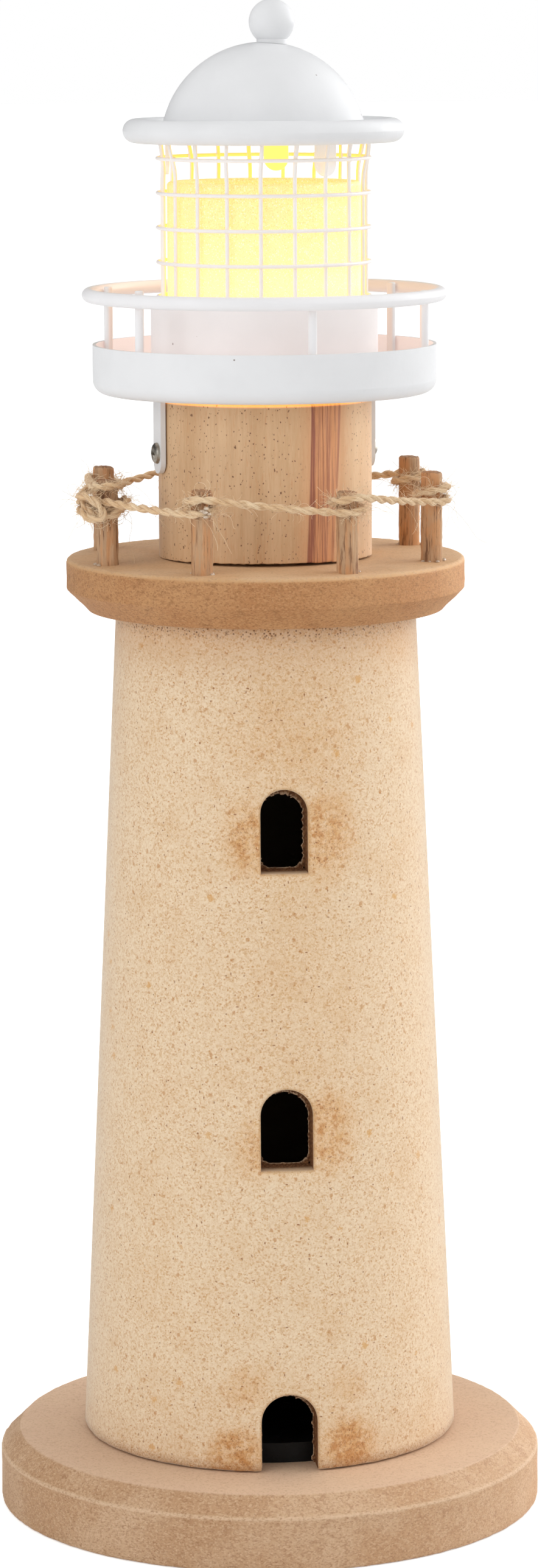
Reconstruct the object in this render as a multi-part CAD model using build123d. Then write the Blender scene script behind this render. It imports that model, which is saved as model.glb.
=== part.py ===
from build123d import *
import os
from math import atan2, cos, degrees, dist, pi, radians, sin, sqrt

# Lighthouse ornament: a wooden tower with a roped gallery and a wire lantern.
# Millimetres, +Z up, origin at the centre of the base board's underside.
# Angles round the axis start at the doorway side (-Y) and run anticlockwise seen from above.

# Base board
BASE_RADIUS = 82.0
BASE_THICK = 22.0
BASE_CHAMFER = 6.0

# Tower shell, a hollow cone
SHELL_HEIGHT = 250.0
SHELL_FOOT_RADIUS = 56.4
SHELL_HEAD_RADIUS = 44.6
SHELL_WALL = 10.5
SHELL_EDGE_ROUND = 1.5

# Arched openings in the shell, with sills measured from the shell's foot
DOOR_WIDTH = 16.6
DOOR_HEIGHT = 23.1
DOOR_SILL = 0.0
LOW_WINDOW_WIDTH = 15.4
LOW_WINDOW_HEIGHT = 24.0
LOW_WINDOW_SILL = 90.0
HIGH_WINDOW_WIDTH = 13.8
HIGH_WINDOW_HEIGHT = 24.5
HIGH_WINDOW_SILL = 177.6

# Discs that locate the shell on the base and under the gallery
FOOT_DISC_THICK = 6.0
HEAD_DISC_THICK = 12.0
DISC_CLEARANCE = 0.15

# Gallery board, with a straight rim above and a bevel below
GALLERY_RADIUS = 59.3
GALLERY_THICK = 15.5
GALLERY_BEVEL_HEIGHT = 6.3
GALLERY_BEVEL_RUN = 6.5
GALLERY_EDGE_ROUND = 1.5

# Neck, a turned block on the gallery
NECK_RADIUS = 31.6
NECK_HEIGHT = 47.0

# Countersunk wood screws, driven up from below
WOOD_SCREW_RADIUS = 2.0
WOOD_SCREW_HEAD_RADIUS = 4.0
WOOD_SCREW_HEAD_HEIGHT = 2.4
WOOD_SCREW_RECESS = 0.6
SCREW_CLEARANCE = 0.1
BASE_SCREW_CIRCLE = 28.0
BASE_SCREW_BITE = 4.5
NECK_SCREW_CIRCLE = 14.0
NECK_SCREW_BITE = 15.0
SCREW_PAIR_ANGLES = (90.0, 270.0)

# Dowel posts let into the gallery
POST_DIAMETER = 6.5
POST_INSET = 7.8
POST_SOCKET_DEPTH = 7.0
POST_CLEARANCE = 0.1
POST_EDGE = 0.4
POST_ANGLES = (-70.0, -27.0, 21.0, 65.0, 116.0, 158.0, 201.0, 244.0)
POST_HEIGHTS = (25.1, 24.5, 23.7, 26.5, 27.0, 25.5, 24.9, 25.3)

# Rope that takes a turn round every post, with both ends at the first post
ROPE_DIAMETER = 2.8
ROPE_CLEARANCE = 0.3
ROPE_LEVEL = 17.5
ROPE_CLIMB = 4.5
ROPE_ARCS_PER_TURN = 5
ROPE_KNOT_DIP = 2.6
ROPE_KNOT_STEP = 3.8
ROPE_START_TURN = 400.0
ROPE_END_TURN = 250.0
ROPE_END_CLIMB = 0.4
ROPE_SAMPLE_STEP = 0.7

# Straps that hold the lantern on the neck
STRAP_WIDTH = 7.4
STRAP_THICK = 1.5
STRAP_LEG = 23.0
STRAP_FLANGE = 14.0
STRAP_CLEARANCE = 0.3
STRAP_BEND_RADIUS = 2.0
STRAP_SCREW_DROP = 17.0
STRAP_ANGLES = {"left": -78.0, "right": 102.0}

# Pan-head screws in the straps
PAN_HEAD_RADIUS = 3.15
PAN_HEAD_HEIGHT = 2.2
PAN_HEAD_ROUND = 1.1
PAN_SHANK_RADIUS = 1.5
PAN_SHANK_LENGTH = 14.0

# Tray, a pressed pan with a light hole in its floor
TRAY_RADIUS = 50.8
TRAY_HEIGHT = 14.4
TRAY_SHEET = 1.0
TRAY_CORNER = 4.0
TRAY_HOLE_RADIUS = 20.0

# Welded wire cage
CAGE_RADIUS = 30.1
CAGE_HEIGHT = 75.0
UPRIGHT_COUNT = 19
UPRIGHT_FIRST_ANGLE = -8.0
UPRIGHT_DIAMETER = 1.2
RING_DIAMETER = 1.1
RING_COUNT = 7
RING_FIRST = 7.2
RING_PITCH = 10.1
WELD_GAP = 0.05

# Drum round the foot of the cage, with a lip turned in at its top
DRUM_HEIGHT = 27.0
DRUM_SHEET = 0.8
DRUM_LIP_WIDTH = 1.3
DRUM_CLEARANCE = 0.35

# Rail ring on stanchions inside the tray's wall
RAIL_DIAMETER = 4.0
RAIL_HEIGHT = 28.0
STANCHION_DIAMETER = 2.6
STANCHION_RISES = (1.5, 2.9, 1.5, 1.5, 1.5, 1.5)
STANCHION_EDGE = 0.5
STANCHION_GAP = 0.2
STANCHION_ANGLES = (-112.3, -54.6, 10.2, 69.1, 121.5, 193.0)

# Glass cup inside the cage
GLASS_HEIGHT = 61.0
GLASS_WALL = 3.0
GLASS_FLOOR = 4.0
GLASS_CLEARANCE = 1.0
GLASS_RIM_ROUND = 1.2
GLASS_FOOT_ROUND = 2.0

# Battery tealight in the glass cup
TEALIGHT_RADIUS = 19.0
TEALIGHT_HEIGHT = 17.0
TEALIGHT_WALL = 1.2
TEALIGHT_DISH_DEPTH = 2.0
TEALIGHT_RIM = 1.6
TEALIGHT_TOP = 1.5
TEALIGHT_CLEARANCE = 0.2
TIP_PLUG_RADIUS = 4.0
TIP_PLUG_LENGTH = 3.0
TIP_SEAT = 0.7
TIP_BELLY = 0.8
TIP_BELLY_HEIGHT = 3.9
TIP_SHOULDER_HEIGHT = 7.2
TIP_HEIGHT = 13.0
COVER_THICK = 1.5
BATTERY_RADIUS = 10.0
BATTERY_THICK = 3.2
BATTERY_EDGE = 0.4

# Roof: a spun dome whose flange rests on the cage, and a rolled brim slotted over the flange's edge
ROOF_SHEET = 1.0
ROOF_SEAT = 0.4
DOME_RISE = 26.4
BRIM_DIAMETER = 7.0
BRIM_STANDOFF = 4.4
BRIM_LIFT = 0.8
BRIM_GRIP = 1.4
BRIM_CLEARANCE = 0.05

# Tabs welded inside the dome, which plug into the cage
TAB_WIDTH = 7.4
TAB_SHEET = 1.0
TAB_DROP = 12.0
TAB_CLEARANCE = 0.6
TAB_ANGLES = (33.0, 166.0, 264.0)

# Ball finial, a little off the axis, and the screw that holds it
BALL_RADIUS = 6.67
BALL_OFFSET = 2.5
BALL_SINK = 0.87
BALL_COLLAR_RADIUS = 4.4
BALL_COLLAR_HEIGHT = 2.5
FINIAL_SCREW_RADIUS = 1.5
FINIAL_HEAD_RADIUS = 2.6
FINIAL_HEAD_HEIGHT = 1.6
FINIAL_SCREW_BITE = 7.0

# How far cuts run past a face, and the middle point of the dome's arcs in degrees above its centre
CUT = 1.0
DOME_ARC_MIDDLE = 40.0

# Levels, from the floor up
SHELL_FOOT_Z = BASE_THICK
SHELL_HEAD_Z = SHELL_FOOT_Z + SHELL_HEIGHT
GALLERY_TOP_Z = SHELL_HEAD_Z + GALLERY_THICK
NECK_TOP_Z = GALLERY_TOP_Z + NECK_HEIGHT
TRAY_Z = NECK_TOP_Z + STRAP_THICK
FLOOR_Z = TRAY_Z + TRAY_SHEET
RAIL_Z = FLOOR_Z + RAIL_HEIGHT
CAGE_TOP_Z = FLOOR_Z + CAGE_HEIGHT
APEX_Z = CAGE_TOP_Z + DOME_RISE
BALL_Z = APEX_Z - BALL_SINK + BALL_RADIUS
TEALIGHT_Z = FLOOR_Z + GLASS_FLOOR

# Radii that fit each other
SHELL_FOOT_BORE = SHELL_FOOT_RADIUS - SHELL_WALL
SHELL_HEAD_BORE = SHELL_HEAD_RADIUS - SHELL_WALL
POST_RADIUS = POST_DIAMETER / 2
POST_CIRCLE = GALLERY_RADIUS - POST_INSET
ROPE_RADIUS = ROPE_DIAMETER / 2
UPRIGHT_RADIUS = UPRIGHT_DIAMETER / 2
RING_RADIUS = RING_DIAMETER / 2
RING_CIRCLE = CAGE_RADIUS + UPRIGHT_RADIUS + WELD_GAP + RING_RADIUS
CAGE_BORE = CAGE_RADIUS - UPRIGHT_RADIUS
DRUM_RADIUS = RING_CIRCLE + RING_RADIUS + DRUM_CLEARANCE + DRUM_LIP_WIDTH
GLASS_RADIUS = CAGE_BORE - GLASS_CLEARANCE
STANCHION_RADIUS = STANCHION_DIAMETER / 2
STANCHION_CIRCLE = TRAY_RADIUS - TRAY_SHEET - STANCHION_GAP - STANCHION_RADIUS
RAIL_RADIUS = RAIL_DIAMETER / 2
RAIL_CIRCLE = STANCHION_CIRCLE + STANCHION_RADIUS + STANCHION_GAP + RAIL_RADIUS
TAB_RADIUS = CAGE_BORE - TAB_CLEARANCE

# Dome, a sphere through its mouth on the cage and its apex, and the brim round it
DOME_MOUTH = CAGE_BORE - ROOF_SEAT
DOME_BORE_RISE = DOME_RISE - ROOF_SHEET
DOME_BORE = (DOME_MOUTH ** 2 + DOME_BORE_RISE ** 2) / (2 * DOME_BORE_RISE)
DOME_RADIUS = DOME_BORE + ROOF_SHEET
DOME_CENTRE_Z = APEX_Z - DOME_RADIUS
DOME_FOOT = sqrt(DOME_RADIUS ** 2 - (CAGE_TOP_Z + ROOF_SHEET - DOME_CENTRE_Z) ** 2)
BRIM_TUBE = BRIM_DIAMETER / 2
BRIM_RADIUS = DOME_FOOT + BRIM_STANDOFF + BRIM_TUBE
BRIM_Z = CAGE_TOP_Z + BRIM_LIFT


def turned(shape, angle):
    """Turn a shape made on the doorway side to an angle round the axis."""
    return Rot(0, 0, angle) * shape


def on_circle(radius, angle, z):
    """Point at a radius and an angle round the axis."""
    return Vector(radius * sin(radians(angle)), -radius * cos(radians(angle)), z)


def cylinder(radius, low, high):
    """Upright cylinder on the axis between two levels."""
    return Pos(0, 0, (low + high) / 2) * Cylinder(radius, high - low)


def turned_profile(points):
    """Solid of revolution of a closed outline of (radius, z) points."""
    outline = Polyline(*[(radius, 0, z) for radius, z in points], close=True)
    return revolve(make_face(outline), Axis.Z)


def shell_bore(z):
    """Radius of the shell's bore at a level."""
    share = (z - SHELL_FOOT_Z) / SHELL_HEIGHT
    return SHELL_FOOT_BORE + share * (SHELL_HEAD_BORE - SHELL_FOOT_BORE)


# Base, tower and gallery


def wood_screw(low, high, play=0.0):
    """Countersunk screw, head down, between two levels; play widens it into its hole."""
    head = WOOD_SCREW_HEAD_RADIUS + play
    shank = WOOD_SCREW_RADIUS + play
    neck_z = low + WOOD_SCREW_HEAD_HEIGHT + play
    return turned_profile([
        (0, low - play),
        (head, low - play),
        (shank, neck_z),
        (shank, high + play),
        (0, high + play),
    ])


def screw_pair(circle, low, high, play=0.0):
    """Two wood screws, or their holes, on opposite sides of the axis."""
    screw = wood_screw(low, high, play)
    return [Pos(*on_circle(circle, angle, 0)) * screw for angle in SCREW_PAIR_ANGLES]


def base_screws(play=0.0):
    """Screws up through the base board into the foot disc."""
    return screw_pair(BASE_SCREW_CIRCLE, WOOD_SCREW_RECESS, BASE_THICK + BASE_SCREW_BITE, play)


def base_screw_recesses():
    """Wells that leave the screw heads above the floor."""
    well = cylinder(WOOD_SCREW_HEAD_RADIUS + SCREW_CLEARANCE, -CUT, WOOD_SCREW_RECESS)
    return [Pos(*on_circle(BASE_SCREW_CIRCLE, angle, 0)) * well for angle in SCREW_PAIR_ANGLES]


def neck_screws(play=0.0):
    """Screws up through the head disc and the gallery into the neck."""
    head_z = SHELL_HEAD_Z - HEAD_DISC_THICK
    return screw_pair(NECK_SCREW_CIRCLE, head_z, GALLERY_TOP_Z + NECK_SCREW_BITE, play)


def base_plate():
    """Round board with a chamfered top edge."""
    plate = cylinder(BASE_RADIUS, 0, BASE_THICK)
    plate = chamfer(plate.edges().group_by(Axis.Z)[-1], BASE_CHAMFER)
    return plate - base_screws(SCREW_CLEARANCE) - base_screw_recesses()


def arch_cut(width, height, sill):
    """Arched prism that cuts the front wall of the shell."""
    half = width / 2
    foot = SHELL_FOOT_Z + sill
    spring = foot + height - half
    outline = Polyline((-half, 0, spring), (-half, 0, foot), (half, 0, foot), (half, 0, spring))
    crown = ThreePointArc((half, 0, spring), (0, 0, foot + height), (-half, 0, spring))
    return extrude(make_face([outline, crown]), SHELL_FOOT_RADIUS + CUT, dir=(0, -1, 0))


def tower_shell():
    """Hollow cone with a doorway and two windows one above the other."""
    shell = turned_profile([
        (SHELL_FOOT_BORE, SHELL_FOOT_Z),
        (SHELL_FOOT_RADIUS, SHELL_FOOT_Z),
        (SHELL_HEAD_RADIUS, SHELL_HEAD_Z),
        (SHELL_HEAD_BORE, SHELL_HEAD_Z),
    ])
    foot_edge = shell.edges().filter_by(GeomType.CIRCLE).group_by(Axis.Z)[0].sort_by(SortBy.RADIUS)[-1]
    shell = fillet(foot_edge, min(SHELL_EDGE_ROUND, SHELL_WALL / 2))
    shell -= arch_cut(DOOR_WIDTH, DOOR_HEIGHT, DOOR_SILL)
    shell -= arch_cut(LOW_WINDOW_WIDTH, LOW_WINDOW_HEIGHT, LOW_WINDOW_SILL)
    return shell - arch_cut(HIGH_WINDOW_WIDTH, HIGH_WINDOW_HEIGHT, HIGH_WINDOW_SILL)


def foot_disc():
    """Disc on the base board that locates the foot of the shell."""
    top = SHELL_FOOT_Z + FOOT_DISC_THICK
    return cylinder(shell_bore(top) - DISC_CLEARANCE, SHELL_FOOT_Z, top) - base_screws(SCREW_CLEARANCE)


def head_disc():
    """Disc that fills the head of the shell under the gallery."""
    disc = cylinder(SHELL_HEAD_BORE - DISC_CLEARANCE, SHELL_HEAD_Z - HEAD_DISC_THICK, SHELL_HEAD_Z)
    return disc - neck_screws(SCREW_CLEARANCE)


def gallery_plate():
    """Round board, bevelled below, with a socket for each post."""
    rim_z = SHELL_HEAD_Z + GALLERY_BEVEL_HEIGHT
    plate = turned_profile([
        (0, SHELL_HEAD_Z),
        (GALLERY_RADIUS - GALLERY_BEVEL_RUN, SHELL_HEAD_Z),
        (GALLERY_RADIUS, rim_z),
        (GALLERY_RADIUS, GALLERY_TOP_Z),
        (0, GALLERY_TOP_Z),
    ])
    plate = fillet(plate.edges().group_by(Axis.Z)[-1], GALLERY_EDGE_ROUND)
    socket = cylinder(POST_RADIUS + POST_CLEARANCE, GALLERY_TOP_Z - POST_SOCKET_DEPTH, GALLERY_TOP_Z + CUT)
    sockets = [Pos(*on_circle(POST_CIRCLE, angle, 0)) * socket for angle in POST_ANGLES]
    return plate - sockets - neck_screws(SCREW_CLEARANCE)


def neck():
    """Turned block that carries the lantern."""
    block = cylinder(NECK_RADIUS, GALLERY_TOP_Z, NECK_TOP_Z)
    pilots = [pan_screw(angle, SCREW_CLEARANCE) for angle in STRAP_ANGLES.values()]
    return block - neck_screws(SCREW_CLEARANCE) - pilots


# Posts and rope


def rope_post(angle, height):
    """Dowel that stands in its socket in the gallery."""
    post = cylinder(POST_RADIUS, GALLERY_TOP_Z - POST_SOCKET_DEPTH, GALLERY_TOP_Z + height)
    post = chamfer(post.edges().group_by(Axis.Z)[-1], POST_EDGE)
    return Pos(*on_circle(POST_CIRCLE, angle, 0)) * post


def biarc(start, start_way, end, end_way):
    """Two tangent arcs that join two points along given directions."""
    chord = end - start
    ways = start_way + end_way
    square = 2 * (1 - start_way.dot(end_way))
    linear = 2 * chord.dot(ways)
    reach = (sqrt(linear ** 2 + 4 * square * chord.dot(chord)) - linear) / (2 * square)
    first_corner = start + start_way * reach
    second_corner = end - end_way * reach
    middle = (first_corner + second_corner) * 0.5
    middle_way = (second_corner - first_corner).normalized()
    return [Edge.make_tangent_arc(start, start_way, middle), Edge.make_tangent_arc(middle, middle_way, end)]


def rope_turn(centre, first_angle, turn, low, climb, way_in=None, way_out=None):
    """Arcs of one turn round a post, climbing steadily between its two ends."""
    radius = POST_RADIUS + ROPE_CLEARANCE + ROPE_RADIUS
    points = []
    ways = []
    for index in range(ROPE_ARCS_PER_TURN + 1):
        share = index / ROPE_ARCS_PER_TURN
        angle = first_angle + radians(turn) * share
        points.append(centre + Vector(radius * cos(angle), radius * sin(angle), low + climb * share))
        ways.append(Vector(-radius * sin(angle), radius * cos(angle), climb / radians(turn)).normalized())
    ways[0] = way_in or ways[0]
    ways[-1] = way_out or ways[-1]
    edges = []
    for index in range(ROPE_ARCS_PER_TURN):
        edges += biarc(points[index], ways[index], points[index + 1], ways[index + 1])
    return edges


def rope_route():
    """Rope's centre line: straight spans outside the posts and a turn round each post."""
    centres = [on_circle(POST_CIRCLE, angle, 0) for angle in POST_ANGLES]
    radius = POST_RADIUS + ROPE_CLEARANCE + ROPE_RADIUS
    low = GALLERY_TOP_Z + ROPE_LEVEL
    knot_low = low - ROPE_KNOT_DIP
    arrivals = [low] * (len(centres) - 1) + [knot_low + ROPE_CLIMB + ROPE_KNOT_STEP]
    departures = [knot_low + ROPE_CLIMB] + [low + ROPE_CLIMB] * (len(centres) - 1)
    spans = []
    sides = []
    for index, centre in enumerate(centres):
        following = centres[(index + 1) % len(centres)]
        ahead = (following - centre).normalized()
        side = Vector(ahead.Y, -ahead.X, 0)
        leave = centre + side * radius + Vector(0, 0, departures[index])
        arrive = following + side * radius + Vector(0, 0, arrivals[index])
        spans.append((leave, arrive))
        sides.append(atan2(side.Y, side.X))
    ways = [(arrive - leave).normalized() for leave, arrive in spans]
    start_angle = sides[0] - radians(ROPE_START_TURN)
    edges = rope_turn(centres[0], start_angle, ROPE_START_TURN, knot_low, ROPE_CLIMB, way_out=ways[0])
    for index in range(1, len(centres)):
        edges.append(Edge.make_line(*spans[index - 1]))
        way_in, way_out = ways[index - 1:index + 1]
        turn = 360 + degrees(sides[index] - sides[index - 1]) % 360
        edges += rope_turn(centres[index], sides[index - 1], turn, low, ROPE_CLIMB, way_in, way_out)
    edges.append(Edge.make_line(*spans[-1]))
    edges += rope_turn(centres[0], sides[-1], ROPE_END_TURN, arrivals[-1], ROPE_END_CLIMB, way_in=ways[-1])
    return edges


def least_self_gap(edges):
    """Least gap between stretches of the rope that are not neighbours along it."""
    points = []
    travelled = 0.0
    for edge in edges:
        steps = max(2, round(edge.length / ROPE_SAMPLE_STEP))
        points += [(travelled + edge.length * i / steps, tuple(edge @ (i / steps))) for i in range(steps)]
        travelled += edge.length
    apart = 4 * ROPE_DIAMETER
    gap = travelled
    for index, (here, point) in enumerate(points):
        far = [other for there, other in points[index + 1:] if there - here > apart]
        gap = min([gap] + [dist(point, other) - ROPE_DIAMETER for other in far])
    return gap


def rope():
    """Rope as one unbroken tube along its route."""
    edges = rope_route()
    path = Wire(edges)
    section = Plane(origin=path @ 0, z_dir=path % 0) * Circle(ROPE_RADIUS)
    tube = sweep(section, path=path)
    expected = pi * ROPE_RADIUS ** 2 * path.length
    print(f"rope length {path.length:.1f} mm, volume {tube.volume / expected:.4f} of section times length")
    print(f"rope least gap to itself {least_self_gap(edges):.2f} mm")
    return tube


# Lantern


def strap(angle):
    """Bent strip: a flange on top of the neck and a leg down its side."""
    inner = NECK_RADIUS + STRAP_CLEARANCE
    outer = inner + STRAP_THICK
    foot_z = TRAY_Z - STRAP_LEG
    profile = Polyline(
        (0, -outer, foot_z),
        (0, -outer, TRAY_Z),
        (0, STRAP_FLANGE - NECK_RADIUS, TRAY_Z),
        (0, STRAP_FLANGE - NECK_RADIUS, NECK_TOP_Z),
        (0, -inner, NECK_TOP_Z),
        (0, -inner, foot_z),
        close=True,
    )
    strip = extrude(make_face(profile), STRAP_WIDTH / 2, dir=(1, 0, 0), both=True)
    bend = strip.edges().filter_by(Axis.X).group_by(Axis.Z)[-1].sort_by(Axis.Y)[0]
    strip = fillet(bend, min(STRAP_BEND_RADIUS, STRAP_THICK * 0.9))
    corners = strip.edges().filter_by(Axis.Y).group_by(Axis.Z)[0]
    strip = fillet(corners, STRAP_WIDTH * 0.49)
    return turned(strip, angle) - pan_screw(angle, SCREW_CLEARANCE)


def pan_screw(angle, play=0.0):
    """Pan-head screw through a strap into the neck; play widens its shank into its hole."""
    seat = NECK_RADIUS + STRAP_CLEARANCE + STRAP_THICK
    shank = cylinder(PAN_SHANK_RADIUS + play, -PAN_SHANK_LENGTH - play, 0)
    if not play:
        head = cylinder(PAN_HEAD_RADIUS, 0, PAN_HEAD_HEIGHT)
        head = fillet(head.edges().group_by(Axis.Z)[-1], PAN_HEAD_ROUND)
        shank += head
    place = Pos(0, -seat, TRAY_Z - STRAP_SCREW_DROP) * Rot(90, 0, 0)
    return turned(place * shank, angle)


def strap_screws():
    """The screw of each strap."""
    return [pan_screw(angle) for angle in STRAP_ANGLES.values()]


def tray():
    """Pressed pan with a rounded corner and a light hole."""
    pan = cylinder(TRAY_RADIUS, TRAY_Z, TRAY_Z + TRAY_HEIGHT)
    pan = fillet(pan.edges().group_by(Axis.Z)[0], TRAY_CORNER)
    inside = cylinder(TRAY_RADIUS - TRAY_SHEET, FLOOR_Z, TRAY_Z + TRAY_HEIGHT + CUT)
    inside = fillet(inside.edges().group_by(Axis.Z)[0], TRAY_CORNER - TRAY_SHEET)
    return pan - inside - cylinder(TRAY_HOLE_RADIUS, TRAY_Z - CUT, FLOOR_Z + CUT)


def drum():
    """Sheet drum with its top edge turned in towards the cage."""
    top = FLOOR_Z + DRUM_HEIGHT
    return turned_profile([
        (DRUM_RADIUS - DRUM_SHEET, FLOOR_Z),
        (DRUM_RADIUS, FLOOR_Z),
        (DRUM_RADIUS, top),
        (DRUM_RADIUS - DRUM_LIP_WIDTH, top),
        (DRUM_RADIUS - DRUM_LIP_WIDTH, top - DRUM_SHEET),
        (DRUM_RADIUS - DRUM_SHEET, top - DRUM_SHEET),
    ])


def cage_uprights():
    """Evenly spaced straight wires from the tray's floor to the roof."""
    wire = cylinder(UPRIGHT_RADIUS, FLOOR_Z, CAGE_TOP_Z)
    angles = [UPRIGHT_FIRST_ANGLE + 360 * index / UPRIGHT_COUNT for index in range(UPRIGHT_COUNT)]
    return [Pos(*on_circle(CAGE_RADIUS, angle, 0)) * wire for angle in angles]


def cage_rings():
    """Wire rings welded round the outside of the uprights."""
    levels = [FLOOR_Z + RING_FIRST + RING_PITCH * index for index in range(RING_COUNT)]
    return [Pos(0, 0, z) * Torus(RING_CIRCLE, RING_RADIUS) for z in levels]


def rail_ring():
    """Hoop of thick wire outside the tops of the stanchions."""
    return Pos(0, 0, RAIL_Z) * Torus(RAIL_CIRCLE, RAIL_RADIUS)


def rail_stanchion(angle, rise):
    """Rod welded inside the tray's wall, above its rounded corner, that carries the rail."""
    rod = cylinder(STANCHION_RADIUS, TRAY_Z + TRAY_CORNER, RAIL_Z + rise)
    rod = fillet(rod.edges().group_by(Axis.Z)[-1], STANCHION_EDGE)
    return Pos(*on_circle(STANCHION_CIRCLE, angle, 0)) * rod


def glass_cup():
    """Open glass cylinder with a floor."""
    cup = cylinder(GLASS_RADIUS, FLOOR_Z, FLOOR_Z + GLASS_HEIGHT)
    cup = fillet(cup.edges().group_by(Axis.Z)[0], GLASS_FOOT_ROUND)
    cup -= cylinder(GLASS_RADIUS - GLASS_WALL, TEALIGHT_Z, FLOOR_Z + GLASS_HEIGHT + CUT)
    return fillet(cup.edges().group_by(Axis.Z)[-1], min(GLASS_RIM_ROUND, GLASS_WALL * 0.45))


# Battery tealight


def tealight_body():
    """Plastic cup, open below, with a dished top and a hole for the tip."""
    top = TEALIGHT_Z + TEALIGHT_HEIGHT
    dish = top - TEALIGHT_DISH_DEPTH
    bore = TEALIGHT_RADIUS - TEALIGHT_WALL
    hole = TIP_PLUG_RADIUS + TEALIGHT_CLEARANCE
    return turned_profile([
        (bore, TEALIGHT_Z),
        (TEALIGHT_RADIUS, TEALIGHT_Z),
        (TEALIGHT_RADIUS, top),
        (TEALIGHT_RADIUS - TEALIGHT_RIM, top),
        (TEALIGHT_RADIUS - TEALIGHT_RIM, dish),
        (hole, dish),
        (hole, dish - TEALIGHT_TOP),
        (bore, dish - TEALIGHT_TOP),
    ])


def tealight_tip():
    """Flame-shaped lamp tip: a drop that swells and then tapers to a point, on a plug."""
    seat = TEALIGHT_Z + TEALIGHT_HEIGHT - TEALIGHT_DISH_DEPTH
    foot = TIP_PLUG_RADIUS + TEALIGHT_CLEARANCE + TIP_SEAT
    shoulder = (foot, 0, seat + TIP_SHOULDER_HEIGHT)
    plug = Polyline(
        (0, 0, seat + TIP_HEIGHT),
        (0, 0, seat - TIP_PLUG_LENGTH),
        (TIP_PLUG_RADIUS, 0, seat - TIP_PLUG_LENGTH),
        (TIP_PLUG_RADIUS, 0, seat),
        (foot, 0, seat),
    )
    flank = ThreePointArc((foot, 0, seat), (foot + TIP_BELLY, 0, seat + TIP_BELLY_HEIGHT), shoulder)
    crown = Line(shoulder, (0, 0, seat + TIP_HEIGHT))
    return revolve(make_face([plug, flank, crown]), Axis.Z)


def tealight_cover():
    """Round battery cover let into the underside of the tealight."""
    radius = TEALIGHT_RADIUS - TEALIGHT_WALL - TEALIGHT_CLEARANCE
    return cylinder(radius, TEALIGHT_Z, TEALIGHT_Z + COVER_THICK)


def tealight_battery():
    """Coin cell on the cover."""
    low = TEALIGHT_Z + COVER_THICK
    cell = cylinder(BATTERY_RADIUS, low, low + BATTERY_THICK)
    return chamfer(cell.edges().group_by(Axis.Z)[-1], BATTERY_EDGE)


# Roof


def dome_height(radius, sphere):
    """Level of a sphere about the dome's centre at a distance from the axis."""
    return DOME_CENTRE_Z + sqrt(sphere ** 2 - radius ** 2)


def dome_arc(sphere, foot, foot_z):
    """Quarter outline of a sphere about the dome's centre, from its foot to the axis."""
    middle = radians(DOME_ARC_MIDDLE)
    return ThreePointArc(
        (foot, 0, foot_z),
        (sphere * cos(middle), 0, DOME_CENTRE_Z + sphere * sin(middle)),
        (0, 0, DOME_CENTRE_Z + sphere),
    )


def roof_dome():
    """Spun dome with a flat flange that rests on the cage."""
    flange_top = CAGE_TOP_Z + ROOF_SHEET
    flange_end = BRIM_RADIUS - BRIM_TUBE + BRIM_GRIP
    outer = dome_arc(DOME_RADIUS, DOME_FOOT, flange_top)
    inner = dome_arc(DOME_BORE, DOME_MOUTH, CAGE_TOP_Z)
    apex = Line((0, 0, APEX_Z), (0, 0, APEX_Z - ROOF_SHEET))
    flange = Polyline(
        (DOME_MOUTH, 0, CAGE_TOP_Z),
        (flange_end, 0, CAGE_TOP_Z),
        (flange_end, 0, flange_top),
        (DOME_FOOT, 0, flange_top),
    )
    dome = revolve(make_face([outer, apex, inner, flange]), Axis.Z)
    return dome - finial_hole(APEX_Z + CUT)


def roof_brim():
    """Rolled tube round the flange, with a slot on its inner side that grips the flange's edge."""
    slot_low = CAGE_TOP_Z - BRIM_CLEARANCE
    slot_high = CAGE_TOP_Z + ROOF_SHEET + BRIM_CLEARANCE
    tube = Pos(0, 0, BRIM_Z) * (Torus(BRIM_RADIUS, BRIM_TUBE) - Torus(BRIM_RADIUS, BRIM_TUBE - ROOF_SHEET))
    return tube - cylinder(BRIM_RADIUS, slot_low, slot_high)


def roof_tab(angle):
    """Strip bent to the cage's curve, welded inside the dome, with a round lower end."""
    top = dome_height(TAB_RADIUS + WELD_GAP, DOME_BORE)
    low = CAGE_TOP_Z - TAB_DROP
    band = cylinder(TAB_RADIUS, low, top) - cylinder(TAB_RADIUS - TAB_SHEET, low - CUT, top + CUT)
    half = TAB_WIDTH / 2
    bend = low + half
    outline = Polyline((-half, 0, bend), (-half, 0, top + CUT), (half, 0, top + CUT), (half, 0, bend))
    end = ThreePointArc((half, 0, bend), (0, 0, low), (-half, 0, bend))
    strip = extrude(make_face([outline, end]), TAB_RADIUS + CUT, dir=(0, -1, 0))
    return turned(band & strip, angle)


def finial_hole(top):
    """Upright hole for the finial's screw, from inside the roof to a level."""
    return Pos(BALL_OFFSET, 0, 0) * cylinder(FINIAL_SCREW_RADIUS + SCREW_CLEARANCE, CAGE_TOP_Z, top)


def finial_ball():
    """Ball with a short collar, cut to sit on the dome."""
    ball = Pos(BALL_OFFSET, 0, BALL_Z) * Sphere(BALL_RADIUS)
    collar = Pos(BALL_OFFSET, 0, 0) * cylinder(BALL_COLLAR_RADIUS, CAGE_TOP_Z, APEX_Z + BALL_COLLAR_HEIGHT)
    dome = Pos(0, 0, DOME_CENTRE_Z) * Sphere(DOME_RADIUS + WELD_GAP)
    return ball + collar - dome - finial_hole(APEX_Z + FINIAL_SCREW_BITE)


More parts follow.
